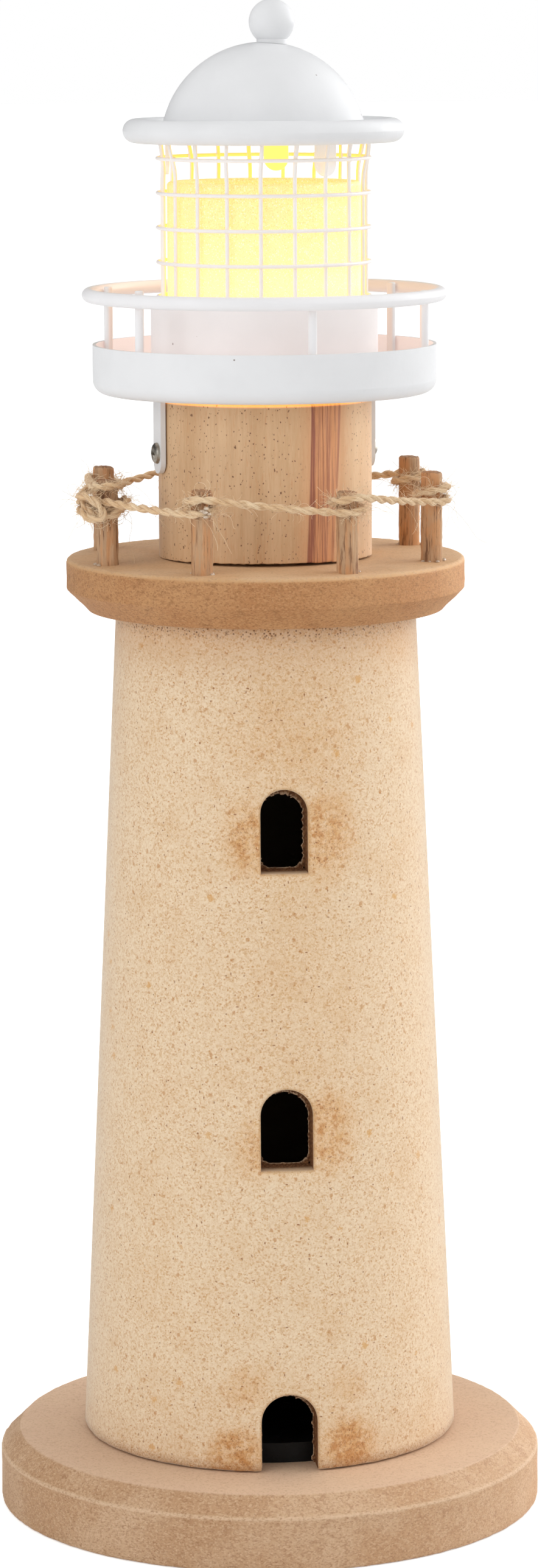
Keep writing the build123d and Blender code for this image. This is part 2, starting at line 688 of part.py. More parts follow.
def finial_screw():
    """Screw up through the dome into the ball, with its head inside."""
    seat = dome_height(BALL_OFFSET + FINIAL_HEAD_RADIUS, DOME_BORE) - WELD_GAP
    shank = cylinder(FINIAL_SCREW_RADIUS, seat, APEX_Z + FINIAL_SCREW_BITE - SCREW_CLEARANCE)
    head = cylinder(FINIAL_HEAD_RADIUS, seat - FINIAL_HEAD_HEIGHT, seat)
    return Pos(BALL_OFFSET, 0, 0) * (shank + head)


def sub_parts():
    """Every sub-part of the ornament by its name."""
    parts = {
        "base_plate": base_plate(),
        "base_screws": base_screws(),
        "foot_disc": foot_disc(),
        "tower_shell": tower_shell(),
        "head_disc": head_disc(),
        "gallery_plate": gallery_plate(),
        "neck": neck(),
        "neck_screws": neck_screws(),
        "rope": rope(),
        "strap_screws": strap_screws(),
        "tray": tray(),
        "drum": drum(),
        "cage_uprights": cage_uprights(),
        "cage_rings": cage_rings(),
        "rail_ring": rail_ring(),
        "glass_cup": glass_cup(),
        "tealight_body": tealight_body(),
        "tealight_tip": tealight_tip(),
        "tealight_battery": tealight_battery(),
        "tealight_cover": tealight_cover(),
        "roof_dome": roof_dome(),
        "roof_brim": roof_brim(),
        "finial_ball": finial_ball(),
        "finial_screw": finial_screw(),
    }
    for index, (angle, height) in enumerate(zip(POST_ANGLES, POST_HEIGHTS), start=1):
        parts[f"rope_post_{index}"] = rope_post(angle, height)
    for side, angle in STRAP_ANGLES.items():
        parts[f"strap_{side}"] = strap(angle)
    for index, (angle, rise) in enumerate(zip(STANCHION_ANGLES, STANCHION_RISES), start=1):
        parts[f"rail_stanchion_{index}"] = rail_stanchion(angle, rise)
    for index, angle in enumerate(TAB_ANGLES, start=1):
        parts[f"roof_tab_{index}"] = roof_tab(angle)
    return parts


os.makedirs("parts", exist_ok=True)
for name, shape in sub_parts().items():
    solid = Compound(children=shape) if isinstance(shape, list) else shape
    export_step(solid, f"parts/{name}.step")
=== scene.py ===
import functools
import logging
import math
import random
from dataclasses import dataclass
from enum import Enum
from typing import Callable, Optional, Sequence, Union

import bmesh
import bpy
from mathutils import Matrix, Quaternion, Vector, noise


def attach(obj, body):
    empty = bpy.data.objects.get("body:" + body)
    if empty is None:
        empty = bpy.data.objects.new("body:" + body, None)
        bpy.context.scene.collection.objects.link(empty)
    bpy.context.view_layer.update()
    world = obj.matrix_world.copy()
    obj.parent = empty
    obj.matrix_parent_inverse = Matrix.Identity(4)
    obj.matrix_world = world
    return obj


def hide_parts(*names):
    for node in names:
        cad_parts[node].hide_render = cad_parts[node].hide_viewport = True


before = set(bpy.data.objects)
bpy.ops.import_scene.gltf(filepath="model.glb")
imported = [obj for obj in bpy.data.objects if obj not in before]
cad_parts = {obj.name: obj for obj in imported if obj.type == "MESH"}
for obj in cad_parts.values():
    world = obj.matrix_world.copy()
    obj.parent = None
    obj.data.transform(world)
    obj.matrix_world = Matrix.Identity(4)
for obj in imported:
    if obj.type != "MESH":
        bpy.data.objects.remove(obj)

# Sizes are in millimetres and become metres where a mesh is made.
# Angles round the axis start at the doorway side (-Y) and run anticlockwise seen from above.

MM = 0.001
LOG = logging.getLogger("lighthouse")
Colour = tuple[float, float, float]
Outline = list[tuple[float, float]]
Socket = bpy.types.NodeSocket
Value = Union[Socket, float, Colour]
Piece = bpy.types.Object
Form = bmesh.types.BMesh
Point = bmesh.types.BMVert

# Levels where one piece ends and the next begins.
BASE_TOP = 22.0
TOWER_TOP = 272.0
GALLERY_TOP = 287.5
NECK_TOP = 334.5
TRAY_FLOOR = 337.0

# Steps of a rounded corner, and points of a spline for each of its control points.
ROUND_STEPS = 5
SPLINE_STEPS = 8


class Body(Enum):
    """Bodies of the record that pieces made here ride on; the others keep their own meshes."""

    TOWER = "tower"


class Slot(Enum):
    """Material slots of the record that pieces made here belong to."""

    BASE = "base_board"
    SHELL = "shell_board"
    GALLERY = "gallery_board"
    NECK = "neck_wood"
    POST = "post_wood"
    JUTE = "jute"
    METAL = "white_metal"
    STEEL = "screw_steel"


# Node trees


class Graph:
    """Adds and links nodes in one node tree."""

    def __init__(self, tree: bpy.types.NodeTree) -> None:
        """Keep the tree that the nodes go into."""
        self.tree = tree

    def feed(self, socket: Socket, value: Value) -> None:
        """Link a socket to another one, or set its constant.

        Args:
            socket: Input that is fed.
            value: Output socket, number, vector or colour.
        """
        if isinstance(value, bpy.types.NodeSocket):
            self.tree.links.new(value, socket)
        elif socket.type == "RGBA":
            socket.default_value = (*value[:3], 1.0)
        else:
            socket.default_value = value

    def node(self, kind: str, *values: Optional[Value], **settings: object) -> bpy.types.Node:
        """Add a node.

        Args:
            kind: Node type.
            values: What feeds the inputs in order; None leaves an input alone.
            settings: Properties set before the inputs are fed.

        Returns:
            The new node.
        """
        made = self.tree.nodes.new(kind)
        for name, value in settings.items():
            setattr(made, name, value)
        for socket, value in zip([each for each in made.inputs if each.enabled], values):
            if value is not None:
                self.feed(socket, value)
        return made

    def result(self, kind: str, *values: Optional[Value], **settings: object) -> Socket:
        """First output of a new node."""
        return self.node(kind, *values, **settings).outputs[0]

    def math(self, operation: str, first: Value, second: Value = 0.0) -> Socket:
        """Result of a math node on two values."""
        return self.result("ShaderNodeMath", first, second, operation=operation)

    def times(self, first: Value, second: Value) -> Socket:
        """Product of two values."""
        return self.math("MULTIPLY", first, second)

    def plus(self, first: Value, second: Value) -> Socket:
        """Sum of two values."""
        return self.math("ADD", first, second)

    def vector(self, operation: str, first: Value, second: Value = (0, 0, 0)) -> Socket:
        """Result of a vector math node on two vectors."""
        return self.result("ShaderNodeVectorMath", first, second, operation=operation)

    def dot(self, first: Value, second: Value) -> Socket:
        """Dot product of two vectors."""
        return self.node("ShaderNodeVectorMath", first, second, operation="DOT_PRODUCT").outputs["Value"]

    def combine(self, x: Value, y: Value, z: Value) -> Socket:
        """Vector made from three numbers."""
        return self.result("ShaderNodeCombineXYZ", x, y, z)

    def split(self, vector: Socket) -> list[Socket]:
        """The three parts of a vector."""
        return list(self.node("ShaderNodeSeparateXYZ", vector).outputs)

    def level(self, value: Value, low: Value, high: Value, first: Value = 0.0, last: Value = 1.0) -> Socket:
        """Smooth step from one value at a low level to another at a high level."""
        settings = {"interpolation_type": "SMOOTHSTEP", "clamp": True}
        return self.result("ShaderNodeMapRange", value, low, high, first, last, **settings)


class Shader(Graph):
    """Node material built step by step round one Principled shader."""

    def __init__(self, name: str) -> None:
        """Start a material with a bare Principled shader.

        Args:
            name: Name of the material.
        """
        self.material = bpy.data.materials.new(name)
        self.material.use_nodes = True
        super().__init__(self.material.node_tree)
        self.surface = self.tree.nodes["Principled BSDF"]
        self.colour: Value = (0.5, 0.5, 0.5)

    def set(self, name: str, value: Value) -> None:
        """Feed one input of the Principled shader."""
        self.feed(self.surface.inputs[name], value)

    def position(self) -> Socket:
        """Object coordinates, in metres."""
        return self.node("ShaderNodeTexCoord").outputs["Object"]

    def attribute(self, name: str, output: str = "Fac") -> Socket:
        """A named attribute of the mesh."""
        return self.node("ShaderNodeAttribute", attribute_name=name).outputs[output]

    def stretched(self, vector: Socket, scale: Colour) -> Socket:
        """Coordinates multiplied along each axis."""
        return self.vector("MULTIPLY", vector, scale)

    def noise(self, vector: Socket, size: float, detail: float = 4.0, rough: float = 0.55) -> Socket:
        """Noise with grains of a size in millimetres."""
        return self.node("ShaderNodeTexNoise", vector, 1 / (size * MM), detail, rough).outputs["Fac"]

    def waves(self, vector: Socket, size: float, detail: float, rough: float) -> Socket:
        """Three noises in one vector, with grains of a size in millimetres."""
        return self.node("ShaderNodeTexNoise", vector, 1 / (size * MM), detail, rough).outputs["Color"]

    def ruffled(self, vector: Socket, waves: Socket, reach: float) -> Socket:
        """Coordinates shifted by waves as far as a reach in millimetres."""
        return self.vector("ADD", vector, self.stretched(waves, (reach * MM,) * 3))

    def facing(self, output: str) -> Socket:
        """Normal of the surface, by the name of the output."""
        return self.node("ShaderNodeNewGeometry").outputs[output]

    def cells(self, vector: Socket, size: float) -> tuple[Socket, Socket]:
        """Cells of a size in millimetres: distance from each cell's point, and a random number of it."""
        made = self.node("ShaderNodeTexVoronoi", vector, 1 / (size * MM))
        return made.outputs["Distance"], self.split(made.outputs["Color"])[0]

    def flecks(self, vector: Socket, size: float, share: float, reach: float) -> Socket:
        """Mask of scattered flecks.

        Args:
            vector: Coordinates of the pattern.
            size: Spacing of the places that may hold a fleck, in millimetres.
            share: Share of the places that hold one.
            reach: Radius of a fleck as a share of the spacing.

        Returns:
            Socket that is 1 in a fleck and 0 elsewhere.
        """
        distance, luck = self.cells(vector, size)
        chosen = self.level(luck, 1 - share - 0.02, 1 - share + 0.02)
        return self.times(self.level(distance, reach * 0.55, reach, 1.0, 0.0), chosen)

    def patch(self, position: Socket, centre: Colour, radii: Colour) -> Socket:
        """Mask that fades from 1 at a point to 0 on an ellipsoid about it, sizes in millimetres.

        Args:
            position: Object coordinates.
            centre: The point.
            radii: Half sizes of the ellipsoid.

        Returns:
            Socket with the mask.
        """
        shifted = self.vector("SUBTRACT", position, [each * MM for each in centre])
        shares = self.vector("DIVIDE", shifted, [each * MM for each in radii])
        length = self.node("ShaderNodeVectorMath", shares, operation="LENGTH").outputs["Value"]
        return self.level(length, 0.25, 1.0, 1.0, 0.0)

    def blend(self, factor: Value, first: Value, second: Value) -> Socket:
        """Mix of two colours."""
        return self.node("ShaderNodeMix", factor, first, second, data_type="RGBA").outputs[2]

    def lay(self, tint: Value, *masks: Value) -> None:
        """Lay a colour over the colour so far, through the product of masks."""
        self.colour = self.blend(functools.reduce(self.times, masks), self.colour, tint)

    def shades(self, factor: Socket, *stops: tuple[float, Colour]) -> Socket:
        """Colour ramp through given stops.

        Args:
            factor: Value that runs along the ramp.
            stops: Place and colour of each stop.

        Returns:
            Socket with the colour.
        """
        made = self.node("ShaderNodeValToRGB", factor)
        ramp = made.color_ramp
        while len(ramp.elements) < len(stops):
            ramp.elements.new(0.5)
        for element, (place, colour) in zip(ramp.elements, stops):
            element.position = place
            element.color = (*colour, 1.0)
        return made.outputs[0]

    def bump(self, height: Socket, depth: float, strength: float) -> Socket:
        """Normal bumped by a height pattern of a depth in millimetres."""
        return self.result("ShaderNodeBump", strength, depth * MM, None, height)


class Shape(Graph):
    """Geometry node tree with named inputs, which ends in Realize Instances and Set Material."""

    def __init__(self, name: str, **inputs: str) -> None:
        """Start a tree.

        Args:
            name: Name of the tree.
            inputs: Socket type of each named input.
        """
        super().__init__(bpy.data.node_groups.new(name, "GeometryNodeTree"))
        face = self.tree.interface
        face.new_socket("Geometry", in_out="INPUT", socket_type="NodeSocketGeometry")
        for label, kind in {**inputs, "Material": "Material"}.items():
            face.new_socket(label, in_out="INPUT", socket_type="NodeSocket" + kind)
        face.new_socket("Geometry", in_out="OUTPUT", socket_type="NodeSocketGeometry")
        self.entry = self.node("NodeGroupInput")

    def input(self, label: str) -> Socket:
        """One named input of the tree."""
        return self.entry.outputs[label]

    def geo(self, kind: str, *values: Optional[Value], **settings: object) -> Socket:
        """First output of a new geometry node."""
        return self.result("GeometryNode" + kind, *values, **settings)

    def join(self, *parts: Socket) -> Socket:
        """Several geometries as one.

        Args:
            parts: The geometries.

        Returns:
            Socket with the whole.
        """
        made = self.node("GeometryNodeJoinGeometry")
        for part in parts:
            self.tree.links.new(part, made.inputs[0])
        return made.outputs[0]

    def tube(self, curve: Socket, radius: Value, sides: int, caps: bool = True) -> Socket:
        """Round tube along a curve."""
        ring = self.geo("CurvePrimitiveCircle", sides, radius)
        return self.geo("CurveToMesh", curve, ring, None, caps)

    def instances(self, points: Socket, thing: Socket, turn: Optional[Socket] = None,
                  scale: Optional[Value] = None) -> Socket:
        """A thing set on every point, turned about the upright axis and scaled.

        Args:
            points: Geometry whose points are used.
            thing: Geometry that is set on them.
            turn: Angle in radians.
            scale: Scale along each axis.

        Returns:
            Socket with the instances.
        """
        spin = None
        if turn is not None:
            spin = self.result("FunctionNodeEulerToRotation", self.combine(0.0, 0.0, turn))
        made = self.node("GeometryNodeInstanceOnPoints", points, None, thing, None, None, spin, scale)
        return made.outputs[0]

    def end(self, geometry: Socket) -> None:
        """Close the tree on a geometry."""
        real = self.geo("RealizeInstances", self.geo("SetShadeSmooth", geometry))
        self.node("NodeGroupOutput", self.geo("SetMaterial", real, None, self.input("Material")))

    def run(self, source: Piece, name: str, finish: "Finish", **values: object) -> Piece:
        """Run the tree on a source object and keep the result as a plain mesh.

        Args:
            source: Object whose mesh the tree reads; it is removed afterwards.
            name: Name of the piece.
            finish: Finish of the piece.
            values: Values of the tree's named inputs.

        Returns:
            The new piece.
        """
        modifier = source.modifiers.new("shape", "NODES")
        modifier.node_group = self.tree
        values["Material"] = finish.material()
        for item in self.tree.interface.items_tree:
            if item.in_out == "INPUT" and item.name in values:
                modifier[item.identifier] = values[item.name]
        evaluated = source.evaluated_get(bpy.context.evaluated_depsgraph_get())
        mesh = bpy.data.meshes.new_from_object(evaluated)
        source.modifiers.remove(modifier)
        bpy.data.objects.remove(source)
        mesh.name = name
        return add_object(name, mesh)


# Finishes


@dataclass(frozen=True)
class Finish:
    """Named finish whose material is made once."""

    name: str

    def material(self) -> bpy.types.Material:
        """The finish's material, made on first use.

        Returns:
            The material.
        """
        if self.name not in bpy.data.materials:
            shader = Shader(self.name)
            self.paint(shader, shader.position())
        return bpy.data.materials[self.name]

    def paint(self, shader: Shader, place: Socket) -> None:
        """Mix the finish; each kind of finish has its own way.

        Args:
            shader: Material being built.
            place: Object coordinates.
        """
        raise NotImplementedError


@dataclass(frozen=True)
class CutBoard(Finish):
    """Fibreboard with a smooth face and rough cut edges."""

    face: Colour
    edge: Colour
    dark: Colour
    pale: Colour
    face_z: float
    pale_edge_z: float = 0.0

    def paint(self, shader: Shader, place: Socket) -> None:
        """Colour the face and the cut edge, with grain, stains, grit and a pale line along one edge, which on
        the gallery's rounded top edge is a painted highlight.

        Args:
            shader: Material being built.
            place: Object coordinates.
        """
        height = shader.split(place)[2]
        cut = shader.level(height, (self.face_z - 0.6) * MM, self.face_z * MM, 1.0, 0.0)
        layered = shader.stretched(place, (1.0, 1.0, 2.2))
        grain = shader.noise(layered, 1.0, 6.0, 0.7)
        cloud = shader.noise(place, 22.0, 3.0, 0.5)
        broad = shader.noise(shader.stretched(place, (1.0, 1.0, 1.8)), 5.0, 4.0, 0.6)
        shader.colour = shader.blend(cut, self.face, self.edge)
        shader.lay(self.pale, shader.level(cloud, 0.35, 0.7, 0.0, 0.42))
        shader.lay(self.dark, shader.level(grain, 0.47, 0.33), shader.level(cut, 0, 1, 0.35, 0.85))
        shader.lay(self.pale, shader.level(grain, 0.56, 0.72), shader.level(cut, 0, 1, 0.4, 0.75))
        shader.lay(self.dark, shader.level(broad, 0.53, 0.74), shader.level(cut, 0, 1, 0.1, 0.45))
        grit = shader.cells(shader.stretched(place, (1.0, 1.0, 1.3)), 0.5)[1]
        rough = shader.level(cut, 0, 1, 0.2, 0.4)
        shader.lay(self.pale, shader.level(grit, 0.62, 0.95), rough)
        shader.lay(self.dark, shader.level(grit, 0.32, 0.02), rough)
        dashes = shader.flecks(shader.stretched(place, (0.8, 1.2, 1.0)), 2.2, 0.16, 0.14)
        shader.lay(self.dark, dashes, 0.5)
        # Pale line along an edge, broken by the grain: on the gallery's top edge it is a painted highlight.
        apart = shader.math("ABSOLUTE", shader.math("SUBTRACT", height, self.pale_edge_z * MM))
        worn = shader.level(apart, 0.8 * MM, 0.2 * MM)
        shader.lay(self.pale, worn, shader.level(grain, 0.35, 0.6, 0.15, 0.8))
        shader.set("Base Color", shader.colour)
        shader.set("Roughness", shader.level(grain, 0.2, 0.8, 0.6, 0.78))
        shader.set("Specular IOR Level", 0.45)
        relief = shader.times(grain, shader.level(cut, 0, 1, 0.35, 1.0))
        shader.set("Normal", shader.bump(relief, 0.35, 0.7))


@dataclass(frozen=True)
class TowerBoard(Finish):
    """Pale speckled board of the tower, scorched beside its openings."""

    pale: Colour
    middle: Colour
    tan: Colour
    orange: Colour
    blush: Colour
    dark: Colour
    scorch: Colour
    marks: tuple[tuple[Colour, Colour, float], ...]
    foot_z: float
    head_z: float

    def paint(self, shader: Shader, place: Socket) -> None:
        """Colour the board by flakes, freckles, scorches, crumbs and specks, with painted shade under the
        gallery and at the foot.

        Args:
            shader: Material being built.
            place: Object coordinates.
        """
        height = shader.split(place)[2]
        fine = shader.noise(place, 0.4, 4.0, 0.75)
        wavy = shader.waves(place, 0.7, 4.0, 0.75)
        bent = shader.ruffled(place, wavy, 1.4)
        crisp = shader.ruffled(place, wavy, 0.5)
        near = self.scorching(shader, place)
        self.flakes(shader, bent, fine)
        cloud = shader.noise(place, 14.0, 4.0, 0.6)
        shader.lay(self.tan, shader.level(cloud, 0.45, 0.7, 0.0, 0.2))
        shader.lay(self.blush, near, 0.65)
        blush = shader.flecks(shader.ruffled(bent, wavy, 3.0), 9.0, 0.3, 0.15)
        shader.lay(self.blush, blush, 0.75)
        blotch = shader.plus(shader.noise(bent, 1.7, 5.0, 0.75), shader.times(near, 0.19))
        shader.lay(self.orange, shader.level(blotch, 0.58, 0.76, 0.0, 0.75))
        freckles = shader.flecks(shader.stretched(bent, (1.0, 1.0, 0.8)), 3.4, 0.34, 0.2)
        shader.lay(self.orange, freckles, 0.6)
        crumbs = shader.plus(shader.noise(crisp, 0.55, 4.0, 0.75), shader.times(near, 0.12))
        shader.lay(self.scorch, shader.level(crumbs, 0.60, 0.76, 0.0, 0.8))
        shader.lay(self.pale, shader.level(crumbs, 0.36, 0.26, 0.0, 0.5))
        # Darker band at the wall's foot, broken by noise: crumbs, and painted contact shade where the wall
        # meets the base.
        foot = shader.level(height, (self.foot_z + 0.6) * MM, (self.foot_z + 4.5) * MM, 0.6, 0.0)
        shader.lay(self.scorch, foot, shader.level(fine, 0.66, 0.36))
        # Painted shadow of the gallery: the top 22 mm of the wall turns orange, and its dark specks grow
        # thicker there.
        head = shader.level(height, (self.head_z - 22) * MM, (self.head_z - 1) * MM)
        shader.lay(self.orange, head, 0.3)
        soot = shader.plus(shader.noise(crisp, 1.0, 4.0, 0.75), shader.times(head, 0.12))
        shader.lay(self.dark, shader.level(soot, 0.70, 0.80, 0.0, 0.7))
        row = shader.level(height, (self.head_z - 5.5) * MM, (self.head_z - 2.4) * MM, 0.0, 0.85)
        row = shader.times(row, shader.flecks(crisp, 0.95, 0.8, 0.36))
        shader.lay(self.dark, row)
        kinds = (
            ((1.0, 1.0, 0.45), 1.3, 0.22, 0.17),
            ((0.45, 1.0, 1.0), 1.5, 0.22, 0.17),
            ((0.8, 1.0, 1.0), 5.0, 0.12, 0.07),
        )
        for way, size, share, reach in kinds:
            speck = shader.flecks(shader.stretched(crisp, way), size, share, reach)
            shader.lay(self.scorch, speck, 0.85)
        bevel = shader.level(shader.attribute("depth"), 0.02, 0.1, 0.0, 0.75)
        shader.lay(self.tan, bevel, shader.level(fine, 0.3, 0.6, 1.0, 0.4))
        shader.set("Base Color", shader.colour)
        shader.set("Roughness", shader.level(fine, 0.2, 0.8, 0.6, 0.75))
        shader.set("Specular IOR Level", 0.45)
        shader.set("Sheen Weight", 0.8)
        shader.set("Sheen Roughness", 0.3)
        shader.set("Sheen Tint", (1.0, 0.95, 0.86))
        shader.set("Normal", shader.bump(fine, 0.2, 0.6))

    def flakes(self, shader: Shader, bent: Socket, fine: Socket) -> None:
        """Start the colour with small flakes and fibres of wood.

        Args:
            shader: Material being built.
            bent: Object coordinates, ruffled.
            fine: Fine noise.
        """
        stops = ((0.0, self.pale), (0.6, self.middle), (0.88, self.tan), (1.0, self.orange))
        shader.colour = shader.shades(shader.cells(bent, 0.5)[1], *stops)
        for way in ((2.4, 1.0, 0.7), (0.7, 1.0, 2.2)):
            fibre = shader.noise(shader.stretched(bent, way), 0.45, 3.0, 0.6)
            shader.lay(self.pale, shader.level(fibre, 0.52, 0.64, 0.0, 0.6))
            shader.lay(self.tan, shader.level(fibre, 0.42, 0.32, 0.0, 0.35))
        shader.lay(self.pale, shader.level(fine, 0.42, 0.62, 0.0, 0.5))

    def scorching(self, shader: Shader, place: Socket) -> Socket:
        """Mask of the scorch marks and of the painted shadow under the gallery, broken up by noise.

        Args:
            shader: Material being built.
            place: Object coordinates.

        Returns:
            Socket with the strength of the scorching.
        """
        total: Value = 0.0
        for centre, radii, strength in self.marks:
            mark = shader.times(shader.patch(place, centre, radii), strength)
            total = shader.math("MAXIMUM", mark, total)
        broken = shader.noise(place, 3.6, 5.0, 0.7)
        return shader.times(total, shader.level(broken, 0.28, 0.62, 0.3, 1.0))


@dataclass(frozen=True)
class ScorchedAndShadedBoard(Finish):
    """Scorched reveals of the openings, with a pale torn edge, painted light on the sill and painted shade of
    the hollow inside.
    """

    brown: Colour
    warm: Colour
    torn: Colour
    # Colour of the painted shade in the hollow inside.
    inside: Colour

    def paint(self, shader: Shader, place: Socket) -> None:
        """Colour the reveal from its torn front edge to the painted shade of the hollow inside.

        Args:
            shader: Material being built.
            place: Object coordinates.
        """
        fine = shader.noise(shader.stretched(place, (1.0, 0.5, 1.0)), 0.7, 4.0, 0.7)
        shader.colour = shader.blend(shader.level(fine, 0.42, 0.68), self.brown, self.warm)
        edge = shader.times(shader.level(shader.attribute("tip"), 0.6, 1.0), shader.level(fine, 0.38, 0.56))
        shader.lay(self.torn, edge)
        depth = shader.attribute("depth")
        front = shader.times(shader.level(depth, 0.12, 0.3, 1.0, 0.0), shader.level(depth, 0.05, 0.1))
        shader.lay(self.torn, front, 0.6)
        # Painted light: faces that look up, on the sill, are pale near the front and darker further in.
        upward = shader.level(shader.split(shader.facing("True Normal"))[2], 0.4, 0.8)
        sill = shader.times(upward, shader.level(depth, 0.62, 0.36, 0.0, 0.9))
        shader.lay(self.torn, sill)
        # Painted shade: the back of the reveal and the bore turn dark brown, as the hollow inside gets little
        # light.
        shader.lay(self.inside, shader.level(depth, 0.82, 0.98))
        shader.set("Base Color", shader.colour)
        shader.set("Roughness", shader.level(fine, 0.3, 0.7, 0.7, 0.9))
        shader.set("Specular IOR Level", 0.15)
        shader.set("Normal", shader.bump(fine, 0.3, 0.7))


@dataclass(frozen=True)
class TurnedWood(Finish):
    """Raw turned wood of the neck, with upright grain, short specks and one red-brown streak."""

    pale: Colour
    tan: Colour
    speck: Colour
    streak: Colour
    edge: Colour
    glow: Colour
    foot_z: float
    top_z: float
    streak_foot: tuple[float, float]
    streak_top: tuple[float, float]

    def paint(self, shader: Shader, place: Socket) -> None:
        """Colour the wood by grain and specks, with the streak and a lit rim at the top.

        Args:
            shader: Material being built.
            place: Object coordinates.
        """
        x, y, z = shader.split(place)
        upright = shader.stretched(place, (1.0, 1.0, 0.05))
        lines = shader.noise(upright, 0.9, 6.0, 0.65)
        bands = shader.noise(upright, 7.0, 3.0, 0.5)
        fine = shader.noise(shader.stretched(place, (1.0, 1.0, 0.3)), 0.5, 4.0, 0.6)
        shader.colour = shader.blend(shader.level(bands, 0.3, 0.7, 0.35, 1.0), self.tan, self.pale)
        shader.lay(self.tan, shader.level(lines, 0.6, 0.3, 0.0, 0.4))
        shader.lay(self.pale, shader.level(fine, 0.55, 0.75, 0.0, 0.3))
        threads = shader.noise(shader.stretched(place, (1.0, 1.0, 0.09)), 0.38, 3.0, 0.6)
        shader.lay(self.edge, shader.level(threads, 0.46, 0.3, 0.0, 0.45))
        shader.lay(self.pale, shader.level(threads, 0.54, 0.7, 0.0, 0.5))
        rays = shader.level(shader.noise(upright, 1.6, 4.0, 0.7), 0.66, 0.74, 0.0, 0.35)
        rays = shader.times(rays, shader.level(shader.noise(place, 11.0, 3.0), 0.45, 0.6))
        shader.lay(self.edge, rays)
        angle = shader.times(shader.math("ARCTAN2", x, shader.times(y, -1.0)), 180 / math.pi)
        rise = shader.level(z, self.foot_z * MM, self.top_z * MM)
        wander = shader.plus(shader.times(shader.noise(upright, 6.0, 3.0), 5.0), -2.0)
        low = self.between(shader, rise, self.streak_foot[0], self.streak_top[0])
        high = self.between(shader, rise, self.streak_foot[1], self.streak_top[1])
        shifted = shader.plus(angle, wander)
        past = shader.math("SUBTRACT", shifted, low)
        inside = shader.math("MINIMUM", past, shader.math("SUBTRACT", high, shifted))
        warm = shader.level(inside, -9.0, 1.0)
        core = shader.level(inside, -0.3, 0.5)
        shader.lay(self.edge, warm, 0.5)
        veins = shader.noise(shader.stretched(place, (1.0, 1.0, 0.018)), 0.5, 4.0, 0.7)
        veined = shader.level(veins, 0.56, 0.42, 0.0, 0.75)
        heart = shader.plus(shader.level(past, 4.5, 0.5, 0.0, 0.6), veined)
        dark = shader.blend(heart, self.edge, self.streak)
        shader.lay(dark, core, 0.95)
        bent = shader.ruffled(place, shader.waves(place, 0.5, 2.0, 0.6), 0.7)
        specks = shader.flecks(shader.stretched(bent, (1.0, 1.0, 0.7)), 1.1, 0.97, 0.2)
        large = shader.flecks(shader.stretched(bent, (1.0, 1.0, 0.6)), 2.3, 0.4, 0.15)
        calm = shader.level(inside, -8.0, -2.0, 0.95, 0.15)
        shader.lay(self.speck, specks, calm)
        shader.lay(self.speck, large, calm)
        shader.set("Base Color", shader.colour)
        shader.set("Roughness", shader.level(lines, 0.3, 0.7, 0.55, 0.7))
        shader.set("Specular IOR Level", 0.55)
        shader.set("Sheen Weight", 0.5)
        shader.set("Sheen Roughness", 0.2)
        shader.set("Normal", shader.bump(lines, 0.2, 0.5))
        # Painted glow: emission on the top rim stands in for the lamp's light that falls on it from the
        # lantern above.
        top = shader.level(z, (self.top_z - 0.9) * MM, (self.top_z - 0.1) * MM)
        shader.set("Emission Color", self.glow)
        shader.set("Emission Strength", shader.times(top, 1.1))

    @staticmethod
    def between(shader: Shader, share: Socket, first: float, last: float) -> Socket:
        """Value that runs from a first to a last number with a share."""
        return shader.plus(shader.times(share, last - first), first)


@dataclass(frozen=True)
class Dowel(Finish):
    """Weathered dowel with long grain."""

    tan: Colour
    grey: Colour
    dark: Colour
    pale: Colour

    def paint(self, shader: Shader, place: Socket) -> None:
        """Colour the dowel by bands, streaks and grain.

        Args:
            shader: Material being built.
            place: Object coordinates.
        """
        upright = shader.stretched(place, (1.0, 1.0, 0.07))
        lines = shader.noise(upright, 0.8, 6.0, 0.7)
        bands = shader.noise(upright, 3.0, 4.0, 0.6)
        patches = shader.noise(place, 9.0, 4.0, 0.6)
        shader.colour = shader.blend(shader.level(bands, 0.40, 0.58), self.tan, self.grey)
        shader.lay(self.grey, shader.level(patches, 0.5, 0.66, 0.0, 0.5))
        streaks = shader.noise(upright, 1.6, 4.0, 0.65)
        shader.lay(self.dark, shader.level(streaks, 0.48, 0.34, 0.0, 0.8))
        shader.lay(self.pale, shader.level(streaks, 0.56, 0.7, 0.0, 0.5))
        shader.lay(self.dark, shader.level(lines, 0.48, 0.34, 0.0, 0.8))
        end = shader.level(shader.split(shader.facing("Normal"))[2], 0.6, 0.9, 0.0, 0.45)
        shader.lay(self.dark, end)
        shader.set("Base Color", shader.colour)
        shader.set("Roughness", shader.level(lines, 0.3, 0.7, 0.65, 0.85))
        shader.set("Specular IOR Level", 0.3)
        shader.set("Normal", shader.bump(lines, 0.4, 0.8))


